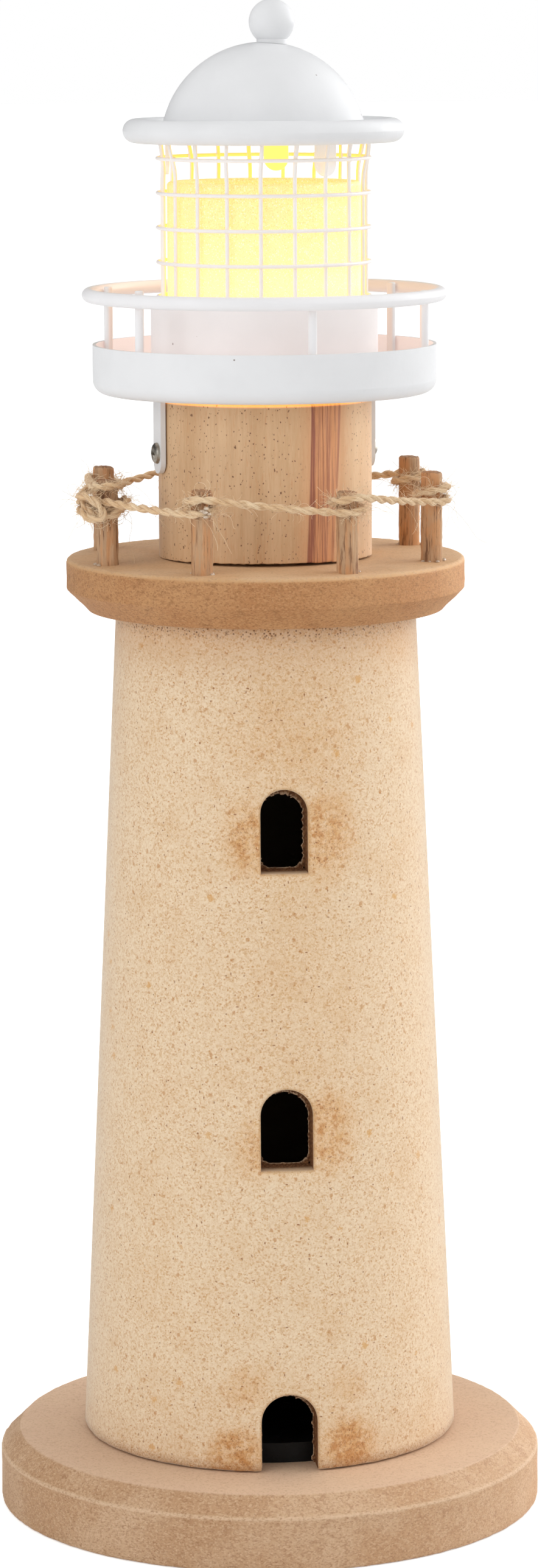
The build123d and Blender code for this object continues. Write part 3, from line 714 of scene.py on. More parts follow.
@dataclass(frozen=True)
class Jute(Finish):
    """Twisted jute, with fibres that follow each strand."""

    pale: Colour
    straw: Colour
    dark: Colour
    strands: bool

    def paint(self, shader: Shader, place: Socket) -> None:
        """Colour the fibres, which follow each strand where there are strands.

        Args:
            shader: Material being built.
            place: Object coordinates.
        """
        shade = shader.noise(place, 6.0, 3.0, 0.6)
        shader.colour = shader.blend(shader.level(shade, 0.35, 0.65), self.straw, self.pale)
        if self.strands:
            x, y = shader.split(shader.attribute("round", "Vector"))[:2]
            along = shader.times(shader.attribute("along"), 0.12)
            fibres = shader.noise(shader.combine(x, y, along), 0.22, 4.0, 0.7)
            shader.lay(self.dark, shader.level(fibres, 0.52, 0.34, 0.0, 0.75))
            shader.lay(self.pale, shader.level(fibres, 0.56, 0.7, 0.0, 0.6))
            shader.set("Normal", shader.bump(fibres, 0.25, 0.9))
        shader.set("Base Color", shader.colour)
        shader.set("Roughness", shader.level(shade, 0.3, 0.7, 0.75, 0.9))
        shader.set("Sheen Weight", 0.25)
        shader.set("Sheen Roughness", 0.5)
        shader.set("Specular IOR Level", 0.2)


@dataclass(frozen=True)
class PowderCoat(Finish):
    """Satin white coat with a fine texture, a few chips and specks, and the lamp's glow on it."""

    coat: Colour
    shade: Colour
    chip: Colour
    chips: float
    stain: Optional[tuple[Colour, Colour]] = None
    blush: float = 0.0
    blush_colour: Colour = (1.0, 0.84, 0.82)
    lit: float = 0.0
    lit_colour: Colour = (1.0, 0.66, 0.16)

    def paint(self, shader: Shader, place: Socket) -> None:
        """Colour the coat with its chips and its stain, and let it glow where it is lit.

        Args:
            shader: Material being built.
            place: Object coordinates.
        """
        cloud = shader.noise(place, 14.0, 3.0, 0.5)
        peel = shader.noise(place, 1.3, 2.0, 0.5)
        shader.colour = shader.blend(shader.level(cloud, 0.3, 0.7), self.coat, self.shade)
        chips = shader.flecks(place, 7.0, self.chips, 0.06)
        dust = shader.flecks(place, 3.2, self.chips * 0.7, 0.05)
        shader.lay(self.chip, chips, 0.8)
        shader.lay(self.chip, dust, 0.4)
        if self.stain:
            mark = shader.level(shader.patch(place, *self.stain), 0.1, 0.5, 0.0, 0.9)
            mark = shader.times(mark, shader.level(shader.noise(place, 0.5, 3.0), 0.3, 0.5, 0.5, 1.0))
            shader.lay(self.chip, mark)
        shader.set("Base Color", shader.colour)
        shader.set("Roughness", shader.level(peel, 0.3, 0.7, 0.3, 0.42))
        shader.set("Specular IOR Level", 0.08)
        shader.set("Normal", shader.bump(peel, 0.05, 0.5))
        # Painted light: blush and lit make the metal glow, and tint its inward faces, in place of the lamp's
        # light on it.
        if self.blush or self.lit:
            self.glow(shader, place)

    def glow(self, shader: Shader, place: Socket) -> None:
        """Add the lamp's glow: a faint blush all over, and more on the faces that look to the axis.

        Args:
            shader: Material being built.
            place: Object coordinates.
        """
        axis = shader.vector("NORMALIZE", shader.stretched(place, (-1.0, -1.0, 0.0)))
        inward = shader.level(shader.dot(axis, shader.facing("True Normal")), 0.0, 0.7)
        strength = shader.plus(shader.times(inward, self.lit), self.blush)
        shader.lay(self.lit_colour, inward, 0.85)
        shader.set("Base Color", shader.colour)
        shader.set("Emission Color", shader.blend(inward, self.blush_colour, self.lit_colour))
        shader.set("Emission Strength", strength)


@dataclass(frozen=True)
class Steel(Finish):
    """Dull zinc-plated steel with fine scratches."""

    bright: Colour
    dull: Colour

    def paint(self, shader: Shader, place: Socket) -> None:
        """Colour the steel and scratch it.

        Args:
            shader: Material being built.
            place: Object coordinates.
        """
        tarnish = shader.noise(place, 1.6, 5.0, 0.65)
        scratches = shader.noise(shader.stretched(place, (1.0, 1.0, 6.0)), 0.6, 3.0, 0.6)
        shader.set("Base Color", shader.blend(shader.level(tarnish, 0.35, 0.65), self.bright, self.dull))
        shader.set("Metallic", 1.0)
        shader.set("Roughness", shader.level(tarnish, 0.3, 0.7, 0.28, 0.5))
        shader.set("Normal", shader.bump(scratches, 0.03, 0.5))


@dataclass(frozen=True)
class LitGlass(Finish):
    """Granular frosted glass, lit warm from inside."""

    body: Colour
    high: Colour
    low: Colour
    deep: Colour
    bright: Colour
    foot_z: float
    top_z: float

    def paint(self, shader: Shader, place: Socket) -> None:
        """Light the glass by its grains and sparks.

        Args:
            shader: Material being built.
            place: Object coordinates.
        """
        height = shader.split(place)[2]
        grains = shader.noise(place, 0.36, 3.0, 0.6)
        distance, luck = shader.cells(place, 0.5)
        rise = shader.level(height, self.foot_z * MM, self.top_z * MM)
        shader.colour = shader.blend(rise, self.low, self.high)
        shade = shader.times(shader.level(grains, 0.5, 0.3), shader.level(rise, 0.2, 1.0, 0.1, 0.6))
        shader.lay(self.deep, shade)
        sparks = shader.times(shader.level(luck, 0.62, 0.72), shader.level(distance, 0.5, 0.2))
        shader.lay(self.bright, sparks, 0.85)
        shader.set("Base Color", shader.blend(shader.level(grains, 0.3, 0.7), self.body, self.low))
        # Painted light: emission stands in for the tealight's light shining through the frosted glass.
        shader.set("Emission Color", shader.colour)
        shader.set("Emission Strength", 1.0)
        shader.set("Roughness", shader.level(grains, 0.3, 0.7, 0.35, 0.6))
        shader.set("Transmission Weight", 0.15)
        shader.set("Normal", shader.bump(grains, 0.5, 0.8))


@dataclass(frozen=True)
class Plastic(Finish):
    """Moulded plastic with a fine grain, lit or plain."""

    colour: Colour
    shade: Colour
    glow: Optional[Colour] = None
    strength: float = 0.0

    def paint(self, shader: Shader, place: Socket) -> None:
        """Colour the plastic, and light it where it glows.

        Args:
            shader: Material being built.
            place: Object coordinates.
        """
        grain = shader.noise(place, 0.6, 3.0, 0.6)
        cloud = shader.noise(place, 9.0, 3.0, 0.5)
        shader.set("Base Color", shader.blend(shader.level(cloud, 0.35, 0.65), self.colour, self.shade))
        shader.set("Roughness", shader.level(grain, 0.3, 0.7, 0.32, 0.48))
        shader.set("Normal", shader.bump(grain, 0.03, 0.5))
        if self.glow:
            shader.set("Emission Color", self.glow)
            shader.set("Emission Strength", self.strength)


@dataclass(frozen=True)
class BlackStain(Finish):
    """Black stained board with glossy smears."""

    black: Colour
    smear: Colour

    def paint(self, shader: Shader, place: Socket) -> None:
        """Colour the board and smear it.

        Args:
            shader: Material being built.
            place: Object coordinates.
        """
        smears = shader.noise(place, 5.0, 5.0, 0.65)
        shader.set("Base Color", shader.blend(shader.level(smears, 0.55, 0.75), self.black, self.smear))
        shader.set("Roughness", shader.level(smears, 0.4, 0.7, 0.45, 0.2))
        shader.set("Specular IOR Level", 0.1)
        shader.set("Normal", shader.bump(smears, 0.5, 0.5))


@dataclass(frozen=True)
class HotGlue(Finish):
    """Milky hot-melt glue."""

    milk: Colour
    clear: Colour

    def paint(self, shader: Shader, place: Socket) -> None:
        """Cloud the glue.

        Args:
            shader: Material being built.
            place: Object coordinates.
        """
        cloud = shader.noise(place, 1.2, 3.0, 0.6)
        shader.set("Base Color", shader.blend(shader.level(cloud, 0.35, 0.65), self.milk, self.clear))
        shader.set("Roughness", shader.level(cloud, 0.3, 0.7, 0.12, 0.3))
        shader.set("Transmission Weight", 0.25)
        shader.set("Specular IOR Level", 0.3)
        shader.set("Normal", shader.bump(cloud, 0.2, 0.5))


BASE_BOARD = CutBoard(
    "base_board_finish",
    face=(0.66, 0.455, 0.31),
    edge=(0.50, 0.295, 0.155),
    dark=(0.30, 0.14, 0.055),
    pale=(0.70, 0.50, 0.33),
    face_z=BASE_TOP - 0.1,
    pale_edge_z=BASE_TOP - 6.0,
)
GALLERY_BOARD = CutBoard(
    "gallery_board_finish",
    face=(0.64, 0.43, 0.25),
    edge=(0.43, 0.195, 0.07),
    dark=(0.22, 0.085, 0.024),
    pale=(0.57, 0.32, 0.14),
    face_z=GALLERY_TOP - 0.8,
    pale_edge_z=GALLERY_TOP - 1.0,
)
PLAIN_BOARD = CutBoard(
    "plain_board_finish",
    face=(0.55, 0.40, 0.26),
    edge=(0.50, 0.36, 0.22),
    dark=(0.25, 0.15, 0.08),
    pale=(0.66, 0.50, 0.33),
    face_z=TOWER_TOP - 0.1,
)
TOWER_BOARD = TowerBoard(
    "tower_board_finish",
    pale=(0.81, 0.65, 0.46),
    middle=(0.71, 0.51, 0.315),
    tan=(0.61, 0.36, 0.155),
    orange=(0.49, 0.20, 0.045),
    blush=(0.64, 0.32, 0.085),
    dark=(0.15, 0.05, 0.015),
    scorch=(0.26, 0.085, 0.018),
    marks=(
        ((-16.0, -54.0, 27.5), (12.0, 14.0, 12.0), 1.0),
        ((-13.0, -54.0, 47.0), (9.0, 14.0, 10.0), 0.55),
        ((18.0, -54.0, 29.5), (13.0, 14.0, 13.0), 1.0),
        ((18.0, -53.0, 47.0), (9.0, 14.0, 9.0), 0.35),
        ((-9.5, -51.0, 119.0), (9.0, 16.0, 14.0), 0.6),
        ((12.0, -51.0, 124.0), (13.0, 16.0, 19.0), 0.85),
        ((-10.5, -47.0, 210.0), (12.0, 16.0, 18.0), 0.85),
        ((12.5, -47.0, 211.0), (14.0, 16.0, 20.0), 0.85),
        # The last two marks are wide and faint over the middle of the front: the upper one is painted shadow
        # under the gallery, the lower one makes the front between the windows more orange.
        ((4.0, -48.0, 238.0), (32.0, 24.0, 34.0), 0.4),
        ((2.0, -50.0, 160.0), (30.0, 24.0, 55.0), 0.2),
    ),
    foot_z=BASE_TOP,
    head_z=TOWER_TOP,
)
REVEAL_BOARD = ScorchedAndShadedBoard(
    "reveal_board_finish",
    brown=(0.14, 0.055, 0.022),
    warm=(0.37, 0.18, 0.075),
    torn=(0.68, 0.48, 0.31),
    # Painted shade of the hollow inside.
    inside=(0.14, 0.095, 0.06),
)
NECK_WOOD = TurnedWood(
    "neck_wood_finish",
    pale=(0.72, 0.49, 0.285),
    tan=(0.53, 0.305, 0.145),
    speck=(0.15, 0.052, 0.018),
    streak=(0.19, 0.038, 0.012),
    edge=(0.60, 0.27, 0.11),
    glow=(1.0, 0.36, 0.05),
    foot_z=GALLERY_TOP,
    top_z=NECK_TOP,
    streak_foot=(17.0, 34.5),
    streak_top=(18.6, 39.0),
)
POST_WOOD = Dowel(
    "post_wood_finish",
    tan=(0.58, 0.29, 0.13),
    grey=(0.49, 0.31, 0.18),
    dark=(0.19, 0.085, 0.04),
    pale=(0.70, 0.49, 0.31),
)
STRANDS = Jute("jute_strand_finish", (0.86, 0.66, 0.43), (0.75, 0.51, 0.29), (0.42, 0.22, 0.09), strands=True)
FIBRES = Jute("jute_fibre_finish", (0.90, 0.73, 0.51), (0.80, 0.58, 0.35), (0.3, 0.19, 0.08), strands=False)
WHITES = ((0.77, 0.775, 0.785), (0.745, 0.75, 0.76))
GREY_CHIP = (0.20, 0.15, 0.13)
WHITE_COAT = PowderCoat("white_coat_finish", *WHITES, GREY_CHIP, chips=0.06)
CAGE_COAT = PowderCoat(
    "cage_coat_finish",
    *WHITES,
    chip=(0.30, 0.15, 0.10),
    chips=0.1,
    blush=0.14,
    blush_colour=(1.0, 0.74, 0.56),
    lit=0.45,
    lit_colour=(1.0, 0.66, 0.14),
)
DRUM_COAT = PowderCoat("drum_coat_finish", *WHITES, GREY_CHIP, chips=0.12, blush=0.12, lit=0.36)
RAIL_COAT = PowderCoat(
    "rail_coat_finish", *WHITES, GREY_CHIP, chips=0.06, blush=0.07, lit=0.05, lit_colour=(0.86, 0.70, 0.62))
TRAY_COAT = PowderCoat(
    "tray_coat_finish", *WHITES, GREY_CHIP, chips=0.06, lit=0.16, lit_colour=(1.0, 0.83, 0.77))
FINIAL_COAT = PowderCoat(
    "finial_coat_finish",
    *WHITES,
    chip=(0.05, 0.03, 0.03),
    chips=0.02,
    stain=((1.9, -4.2, 437.6), (3.4, 3.0, 0.6)),
)
TAB_COAT = PowderCoat(
    "tab_coat_finish",
    *WHITES,
    chip=(0.30, 0.10, 0.05),
    chips=0.5,
    blush=0.16,
    blush_colour=(1.0, 0.93, 0.93),
    lit=0.6,
    lit_colour=(1.0, 0.76, 0.16),
)
SCREW_STEEL = Steel("screw_steel_finish", (0.56, 0.54, 0.49), (0.34, 0.315, 0.27))
CUP_GLASS = LitGlass(
    "cup_glass_finish",
    body=(0.50, 0.42, 0.215),
    high=(0.64, 0.42, 0.155),
    low=(0.68, 0.63, 0.37),
    deep=(0.60, 0.31, 0.07),
    bright=(0.74, 0.72, 0.60),
    foot_z=345.0,
    top_z=399.0,
)
TEALIGHT_PLASTIC = Plastic("tealight_plastic_finish", (0.86, 0.84, 0.78), (0.80, 0.78, 0.71))
TIP_PLASTIC = Plastic("tip_plastic_finish", (1.0, 0.78, 0.35), (1.0, 0.70, 0.25), (1.0, 0.62, 0.2), 4.0)
BLACK_DISC = BlackStain("black_disc_finish", (0.008, 0.008, 0.008), (0.03, 0.031, 0.032))
GLUE = HotGlue("hot_glue_finish", (0.62, 0.47, 0.34), (0.80, 0.68, 0.56))


# Meshes


def add_object(name: str, mesh: bpy.types.Mesh) -> Piece:
    """Object of a mesh, at the origin and in the scene.

    Args:
        name: Name of the object.
        mesh: Its mesh.

    Returns:
        The new object.
    """
    made = bpy.data.objects.new(name, mesh)
    bpy.context.scene.collection.objects.link(made)
    return made


def spot(radius: float, angle: float, z: float) -> Vector:
    """Point in metres at a radius, an angle round the axis and a level."""
    turn = math.radians(angle)
    return Vector((radius * math.sin(turn), -radius * math.cos(turn), z)) * MM


def rounded(corners: Sequence[tuple[float, float, float]]) -> Outline:
    """Outline with rounded corners.

    Args:
        corners: Radius, level and corner radius of each corner.

    Returns:
        Points (radius, level) of the outline.
    """
    points: Outline = []
    for index, (x, z, radius) in enumerate(corners):
        here = Vector((x, z))
        back = Vector(corners[index - 1][:2]) - here
        ahead = Vector(corners[(index + 1) % len(corners)][:2]) - here
        if radius <= 0:
            points.append((x, z))
            continue
        half = back.angle(ahead) / 2
        reach = min(radius / math.tan(half), back.length * 0.49, ahead.length * 0.49)
        centre = here + (back.normalized() + ahead.normalized()).normalized() * (reach / math.cos(half))
        first = here + back.normalized() * reach - centre
        last = here + ahead.normalized() * reach - centre
        start = math.atan2(first.y, first.x)
        sweep = math.atan2(last.y, last.x) - start
        sweep = (sweep + math.pi) % (2 * math.pi) - math.pi
        for step in range(ROUND_STEPS + 1):
            turn = start + sweep * step / ROUND_STEPS
            across, up = first.length * math.cos(turn), first.length * math.sin(turn)
            points.append((centre.x + across, centre.y + up))
    return points


def divided(outline: Outline, step: float) -> Outline:
    """Outline with extra points so that no two lie further apart than a step.

    Args:
        outline: Points (radius, level) in millimetres.
        step: Greatest spacing.

    Returns:
        Points of the divided outline.
    """
    points: Outline = []
    for (x, z), (next_x, next_z) in zip(outline, outline[1:]):
        count = max(1, math.ceil(math.hypot(next_x - x, next_z - z) / step))
        for index in range(count):
            points.append((x + (next_x - x) * index / count, z + (next_z - z) * index / count))
    return points + [outline[-1]]


def mesh_object(name: str, shape: Form, sharp: float = 40.0) -> Piece:
    """Object of a finished bmesh, shaded smooth up to a sharp angle.

    Args:
        name: Name of the object.
        shape: Mesh that is used up.
        sharp: Least angle in degrees between faces at a sharp edge.

    Returns:
        The new object.
    """
    bmesh.ops.recalc_face_normals(shape, faces=shape.faces)
    mesh = bpy.data.meshes.new(name)
    shape.to_mesh(mesh)
    shape.free()
    mesh.shade_smooth()
    mesh.set_sharp_from_angle(angle=math.radians(sharp))
    return add_object(name, mesh)


def turning(corners: Sequence[tuple[float, float, float]], step: float, steps: int) -> Form:
    """Turn an outline about the axis, from one end on the axis to the other.

    Args:
        corners: Radius, level and corner radius of each corner, in millimetres.
        step: Greatest spacing of points along the outline.
        steps: Steps round the axis.

    Returns:
        The turned mesh.
    """
    shape = bmesh.new()
    rings = []
    for radius, z in divided(rounded(corners), step):
        count = steps if radius > 1e-4 else 1
        rings.append([shape.verts.new(spot(radius, 360 * index / steps, z)) for index in range(count)])
    for low, high in zip(rings, rings[1:]):
        for index in range(steps):
            after = (index + 1) % steps
            foot = [low[index % len(low)], low[after % len(low)]]
            head = [high[after % len(high)], high[index % len(high)]]
            face = list(dict.fromkeys(foot + head))
            if len(face) > 2:
                shape.faces.new(face)
    return shape


def strip(shape: Form, first: Sequence[Point], second: Sequence[Point]) -> None:
    """Faces between two rows of points."""
    for index in range(len(first) - 1):
        shape.faces.new((first[index], second[index], second[index + 1], first[index + 1]))


def wear(made: Piece, depth: float, size: float, where: Callable[[Vector], float]) -> None:
    """Push a mesh's points inwards by noise.

    Args:
        made: Object whose mesh is worn.
        depth: Greatest depth in millimetres.
        size: Size of the dents in millimetres.
        where: Share of the depth at a point given in millimetres.
    """
    normals = [vertex.normal.copy() for vertex in made.data.vertices]
    for vertex, normal in zip(made.data.vertices, normals):
        place = vertex.co / MM
        share = where(place)
        if share > 0:
            dent = 0.5 + 0.5 * noise.noise(place / size) + 0.25 * noise.noise(place * 2.7 / size)
            vertex.co -= normal * (max(0.0, dent) * depth * share * MM)


def outside(radius: float) -> Callable[[Vector], float]:
    """Share that is 1 outside a radius in millimetres and 0 inside it."""
    return lambda place: 1.0 if math.hypot(place.x, place.y) > radius else 0.0


def line_object(lines: Sequence[Sequence[Vector]]) -> Piece:
    """Object with loose edges along lines, for a node tree to read.

    Args:
        lines: Points of each line, in metres.

    Returns:
        The new object.
    """
    points = [point for line in lines for point in line]
    edges = []
    start = 0
    for line in lines:
        edges += [(start + index, start + index + 1) for index in range(len(line) - 1)]
        start += len(line)
    mesh = bpy.data.meshes.new("lines")
    mesh.from_pydata(points, edges, [])
    return add_object("lines", mesh)


def point_object(points: Sequence[Vector], **numbers: Sequence[float]) -> Piece:
    """Object with loose points that carry numbers, for a node tree to read.

    Args:
        points: Places in metres.
        numbers: A number for every point, by the attribute's name.

    Returns:
        The new object.
    """
    mesh = bpy.data.meshes.new("points")
    mesh.from_pydata(points, [], [])
    for name, values in numbers.items():
        mesh.attributes.new(name, "FLOAT", "POINT").data.foreach_set("value", list(values))
    return add_object("points", mesh)


def spline_points(controls: Sequence[Vector]) -> list[Vector]:
    """Points along a smooth spline.

    Args:
        controls: Control points in metres.

    Returns:
        Points in metres.
    """
    data = bpy.data.curves.new("route", "CURVE")
    data.dimensions = "3D"
    data.resolution_u = SPLINE_STEPS
    spline = data.splines.new("NURBS")
    spline.points.add(len(controls) - 1)
    for point, place in zip(spline.points, controls):
        point.co = (*place, 1.0)
    spline.order_u = 3
    spline.use_endpoint_u = True
    holder = bpy.data.objects.new("route", data)
    bpy.context.scene.collection.objects.link(holder)
    mesh = bpy.data.meshes.new_from_object(holder.evaluated_get(bpy.context.evaluated_depsgraph_get()))
    points = [vertex.co.copy() for vertex in mesh.vertices]
    bpy.data.objects.remove(holder)
    bpy.data.curves.remove(data)
    bpy.data.meshes.remove(mesh)
    return points


def settle(made: Piece, slot: Slot, finish: Optional[Finish], *nodes: str, body: Body = Body.TOWER) -> None:
    """Give a piece its finish and its body, and let it stand for nodes of the model.

    Args:
        made: The piece.
        slot: Material slot that it belongs to; not used.
        finish: Finish, or None where the mesh has its material already.
        nodes: Nodes that it replaces.
        body: Body that it rides on.
    """
    if finish is not None:
        made.data.materials.clear()
        made.data.materials.append(finish.material())
    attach(made, body.value)
    if nodes:
        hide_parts(*nodes)
    stands_for = ", ".join(nodes) or "itself"
    LOG.info("%s: %d faces, on %s, for %s", made.name, len(made.data.polygons), body.value, stands_for)


def dress_nodes(finish: Finish, *nodes: str) -> None:
    """Give nodes of the model a finish and keep their shapes.

    Args:
        finish: The finish.
        nodes: Names of the nodes.
    """
    for node in nodes:
        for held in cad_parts[node].material_slots:
            held.material = finish.material()
        LOG.info("%s: keeps its own mesh", node)


# Shapes that repeat or follow a path


def bead_shape() -> Shape:
    """Tree that sets a round bead on every point, by the size that the point carries.

    Returns:
        The tree.
    """
    shape = Shape("beads", Flatness="Float")
    size = shape.geo("InputNamedAttribute", "size", data_type="FLOAT")
    ball = shape.geo("MeshIcoSphere", 1.0, 3)
    scale = shape.combine(size, size, shape.times(size, shape.input("Flatness")))
    shape.end(shape.instances(shape.input("Geometry"), ball, scale=scale))
    return shape


def screw_shape() -> Shape:
    """Tree that sets a screw on every point, turned by the angle that the point carries.

    Returns:
        The tree.
    """
    shape = Shape("screws", Screw="Object")
    turn = shape.geo("InputNamedAttribute", "turn", data_type="FLOAT")
    screw = shape.node("GeometryNodeObjectInfo", shape.input("Screw")).outputs["Geometry"]
    shape.end(shape.instances(shape.input("Geometry"), screw, turn))
    return shape


def cage_shape() -> Shape:
    """Tree of the wire cage: uprights that flare at the top, rings round them and a weld at each crossing.

    Returns:
        The tree.
    """
    shape = Shape(
        "wire_cage", Uprights="Int", Radius="Float", Wire="Float", Foot="Float", Top="Float", Flare="Float",
        Bend="Float", Bent="Float", Rings="Int", Ring_Radius="Float", Ring_Wire="Float", First="Float",
        Pitch="Float", Turn="Float", Weld="Float", Seed="Int")
    count, top = shape.input("Uprights"), shape.input("Top")
    foot = shape.combine(0, 0, shape.input("Foot"))
    line = shape.geo("CurvePrimitiveLine", foot, shape.combine(0, 0, top))
    line = shape.geo("ResampleCurve", line, None, 40)
    late = shape.level(shape.node("GeometryNodeSplineParameter").outputs["Factor"], 0.84, 1.0)
    lean = shape.combine(shape.times(late, shape.input("Flare")), 0.0, 0.0)
    line = shape.geo("SetPosition", line, None, None, lean)
    wire = shape.tube(line, shape.input("Wire"), 12)
    circle = shape.geo("MeshCircle", count, shape.input("Radius"))
    step = shape.math("DIVIDE", 2 * math.pi, count)
    uprights = shape.instances(circle, wire, shape.times(shape.geo("InputIndex"), step))
    uprights = shape.geo("RealizeInstances", uprights)
    place = shape.geo("InputPosition")
    start = shape.math("SUBTRACT", top, shape.input("Bent"))
    high = shape.level(shape.split(place)[2], start, top, 0.0, shape.input("Bend"))
    luck = shape.node("ShaderNodeTexNoise", place, 70.0, 0.0).outputs["Color"]
    luck = shape.vector("SUBTRACT", luck, (0.5, 0.5, 0.5))
    shift = shape.vector("MULTIPLY", luck, shape.combine(high, high, 0.0))
    uprights = shape.geo("SetPosition", uprights, None, None, shift)
    first, pitch = [shape.combine(0, 0, shape.input(label)) for label in ("First", "Pitch")]
    levels = shape.geo("MeshLine", shape.input("Rings"), first, pitch)
    hoop = shape.geo("CurvePrimitiveCircle", 120, shape.input("Ring_Radius"))
    rings = shape.instances(levels, shape.tube(hoop, shape.input("Ring_Wire"), 12, False))
    weld_radius = shape.times(shape.plus(shape.input("Radius"), shape.input("Ring_Radius")), 0.5)
    weld_circle = shape.geo("MeshCircle", count, weld_radius)
    crossings = shape.geo("RealizeInstances", shape.instances(levels, weld_circle))
    ball = shape.geo("MeshIcoSphere", shape.input("Weld"), 2)
    seed = shape.input("Seed")
    size = shape.node("FunctionNodeRandomValue", 0.8, 1.2, None, seed, data_type="FLOAT").outputs[1]
    welds = shape.instances(crossings, ball, scale=shape.combine(size, size, size))
    whole = shape.join(uprights, rings, welds)
    spin = shape.result("FunctionNodeEulerToRotation", shape.combine(0, 0, shape.input("Turn")))
    shape.end(shape.geo("Transform", whole, None, spin))
    return shape


def strand_shape() -> Shape:
    """Tree of a twisted rope: two strands that wind about the line that it is given.

    Returns:
        The tree.
    """
    shape = Shape("twisted_rope", Step="Float", Lay="Float", Offset="Float", Strand="Float")
    curve = shape.geo("MeshToCurve", shape.input("Geometry"))
    curve = shape.geo("ResampleCurve", curve, None, shape.input("Step"), mode="LENGTH")
    curve = shape.geo("SetCurveNormal", curve, mode="MINIMUM_TWIST")
    length = shape.node("GeometryNodeSplineParameter").outputs["Length"]
    normal = shape.geo("InputNormal")
    other = shape.vector("CROSS_PRODUCT", shape.geo("InputTangent"), normal)
    settings = {"data_type": "FLOAT", "domain": "POINT"}
    curve = shape.geo("StoreNamedAttribute", curve, None, "along", length, **settings)
    ring = shape.geo("CurvePrimitiveCircle", 12, shape.input("Strand"))
    profile = shape.geo("InputPosition")
    settings = {"data_type": "FLOAT_VECTOR", "domain": "POINT"}
    ring = shape.geo("StoreNamedAttribute", ring, None, "round", profile, **settings)
    winding = shape.times(length, shape.math("DIVIDE", 2 * math.pi, shape.input("Lay")))
    strands = []
    for start in (0.0, math.pi):
        turn = shape.plus(winding, start)
        across = shape.times(shape.math("COSINE", turn), shape.input("Offset"))
        along = shape.times(shape.math("SINE", turn), shape.input("Offset"))
        aside, ahead = shape.vector("SCALE", normal, across), shape.vector("SCALE", other, along)
        wound = shape.geo("SetPosition", curve, None, None, shape.vector("ADD", aside, ahead))
        strands.append(shape.geo("CurveToMesh", wound, ring, None, True))
    shape.end(shape.join(*strands))
    return shape


def fibre_shape() -> Shape:
    """Tree that gives every loose line a thin round section.

    Returns:
        The tree.
    """
    shape = Shape("fibres", Thickness="Float")
    curve = shape.geo("MeshToCurve", shape.input("Geometry"))
    shape.end(shape.tube(curve, shape.input("Thickness"), 3))
    return shape


# Sub-assemblies


@dataclass
class Base:
    """Round base board with a chamfer round its top."""

    radius: float = 82.0
    thickness: float = BASE_TOP
    chamfer: float = 6.0
    edge: float = 0.8
    steps: int = 240

    def build(self) -> Piece:
        """Turn the board and wear its edges.

        Returns:
            The board.
        """
        side = self.thickness - self.chamfer
        top = self.radius - self.chamfer
        corners = [(0, 0, 0), (self.radius, 0, self.edge), (self.radius, side, self.edge),
                   (top, self.thickness, self.edge), (0, self.thickness, 0)]
        shape = turning(corners, step=3.0, steps=self.steps)
        made = mesh_object("base_board", shape, sharp=60.0)
        wear(made, depth=0.3, size=2.2, where=outside(top - 1))
        return made

    def dress(self) -> None:
        """Set the board in its place and finish its screws."""
        settle(self.build(), Slot.BASE, BASE_BOARD, "base_plate")
        dress_nodes(SCREW_STEEL, "base_screws")


@dataclass(frozen=True)
class Arch:
    """Arched opening: straight sides and a half-round crown."""

    width: float
    height: float
    sill: float
    open_foot: bool = False

    @property
    def half(self) -> float:
        """Half of the width, which is also the crown's radius."""
        return self.width / 2

    @property
    def spring(self) -> float:
        """Level where the crown starts."""
        return self.sill + self.height - self.half

    def facing(self, x: float, z: float) -> tuple[float, float]:
        """Point of the opening's edge that faces a point of the wall round it.

        Args:
            x: Place across the wall.
            z: Level.

        Returns:
            Place across and level of the edge's point.
        """
        if z > self.spring:
            reach = math.hypot(x, z - self.spring)
            return x / reach * self.half, self.spring + (z - self.spring) / reach * self.half
        middle = self.sill + self.half
        if self.open_foot or z >= middle:
            return math.copysign(self.half, x), z
        reach = max(abs(x), abs(z - middle))
        return x / reach * self.half, middle + (z - middle) / reach * self.half

    def outline(self, step: float) -> Outline:
        """Points round the opening, from the left foot over the crown to the right one.

        Args:
            step: Spacing of the points.

        Returns:
            Points (place across, level); the sill is part of it where the foot isn't open.
        """
        turns = [math.pi * (1 - index / 40) for index in range(41)]
        points = [(-self.half, self.sill)]
        points += [(self.half * math.cos(turn), self.spring + self.half * math.sin(turn)) for turn in turns]
        points.append((self.half, self.sill))
        if not self.open_foot:
            points.append((-self.half, self.sill))
        return divided(points, step)


@dataclass
class WallSkin:
    """Points of one skin of the tower's wall."""

    grid: dict[tuple[int, int], Point]
    back: list[list[Point]]
    blocks: list[list[list[Point]]]


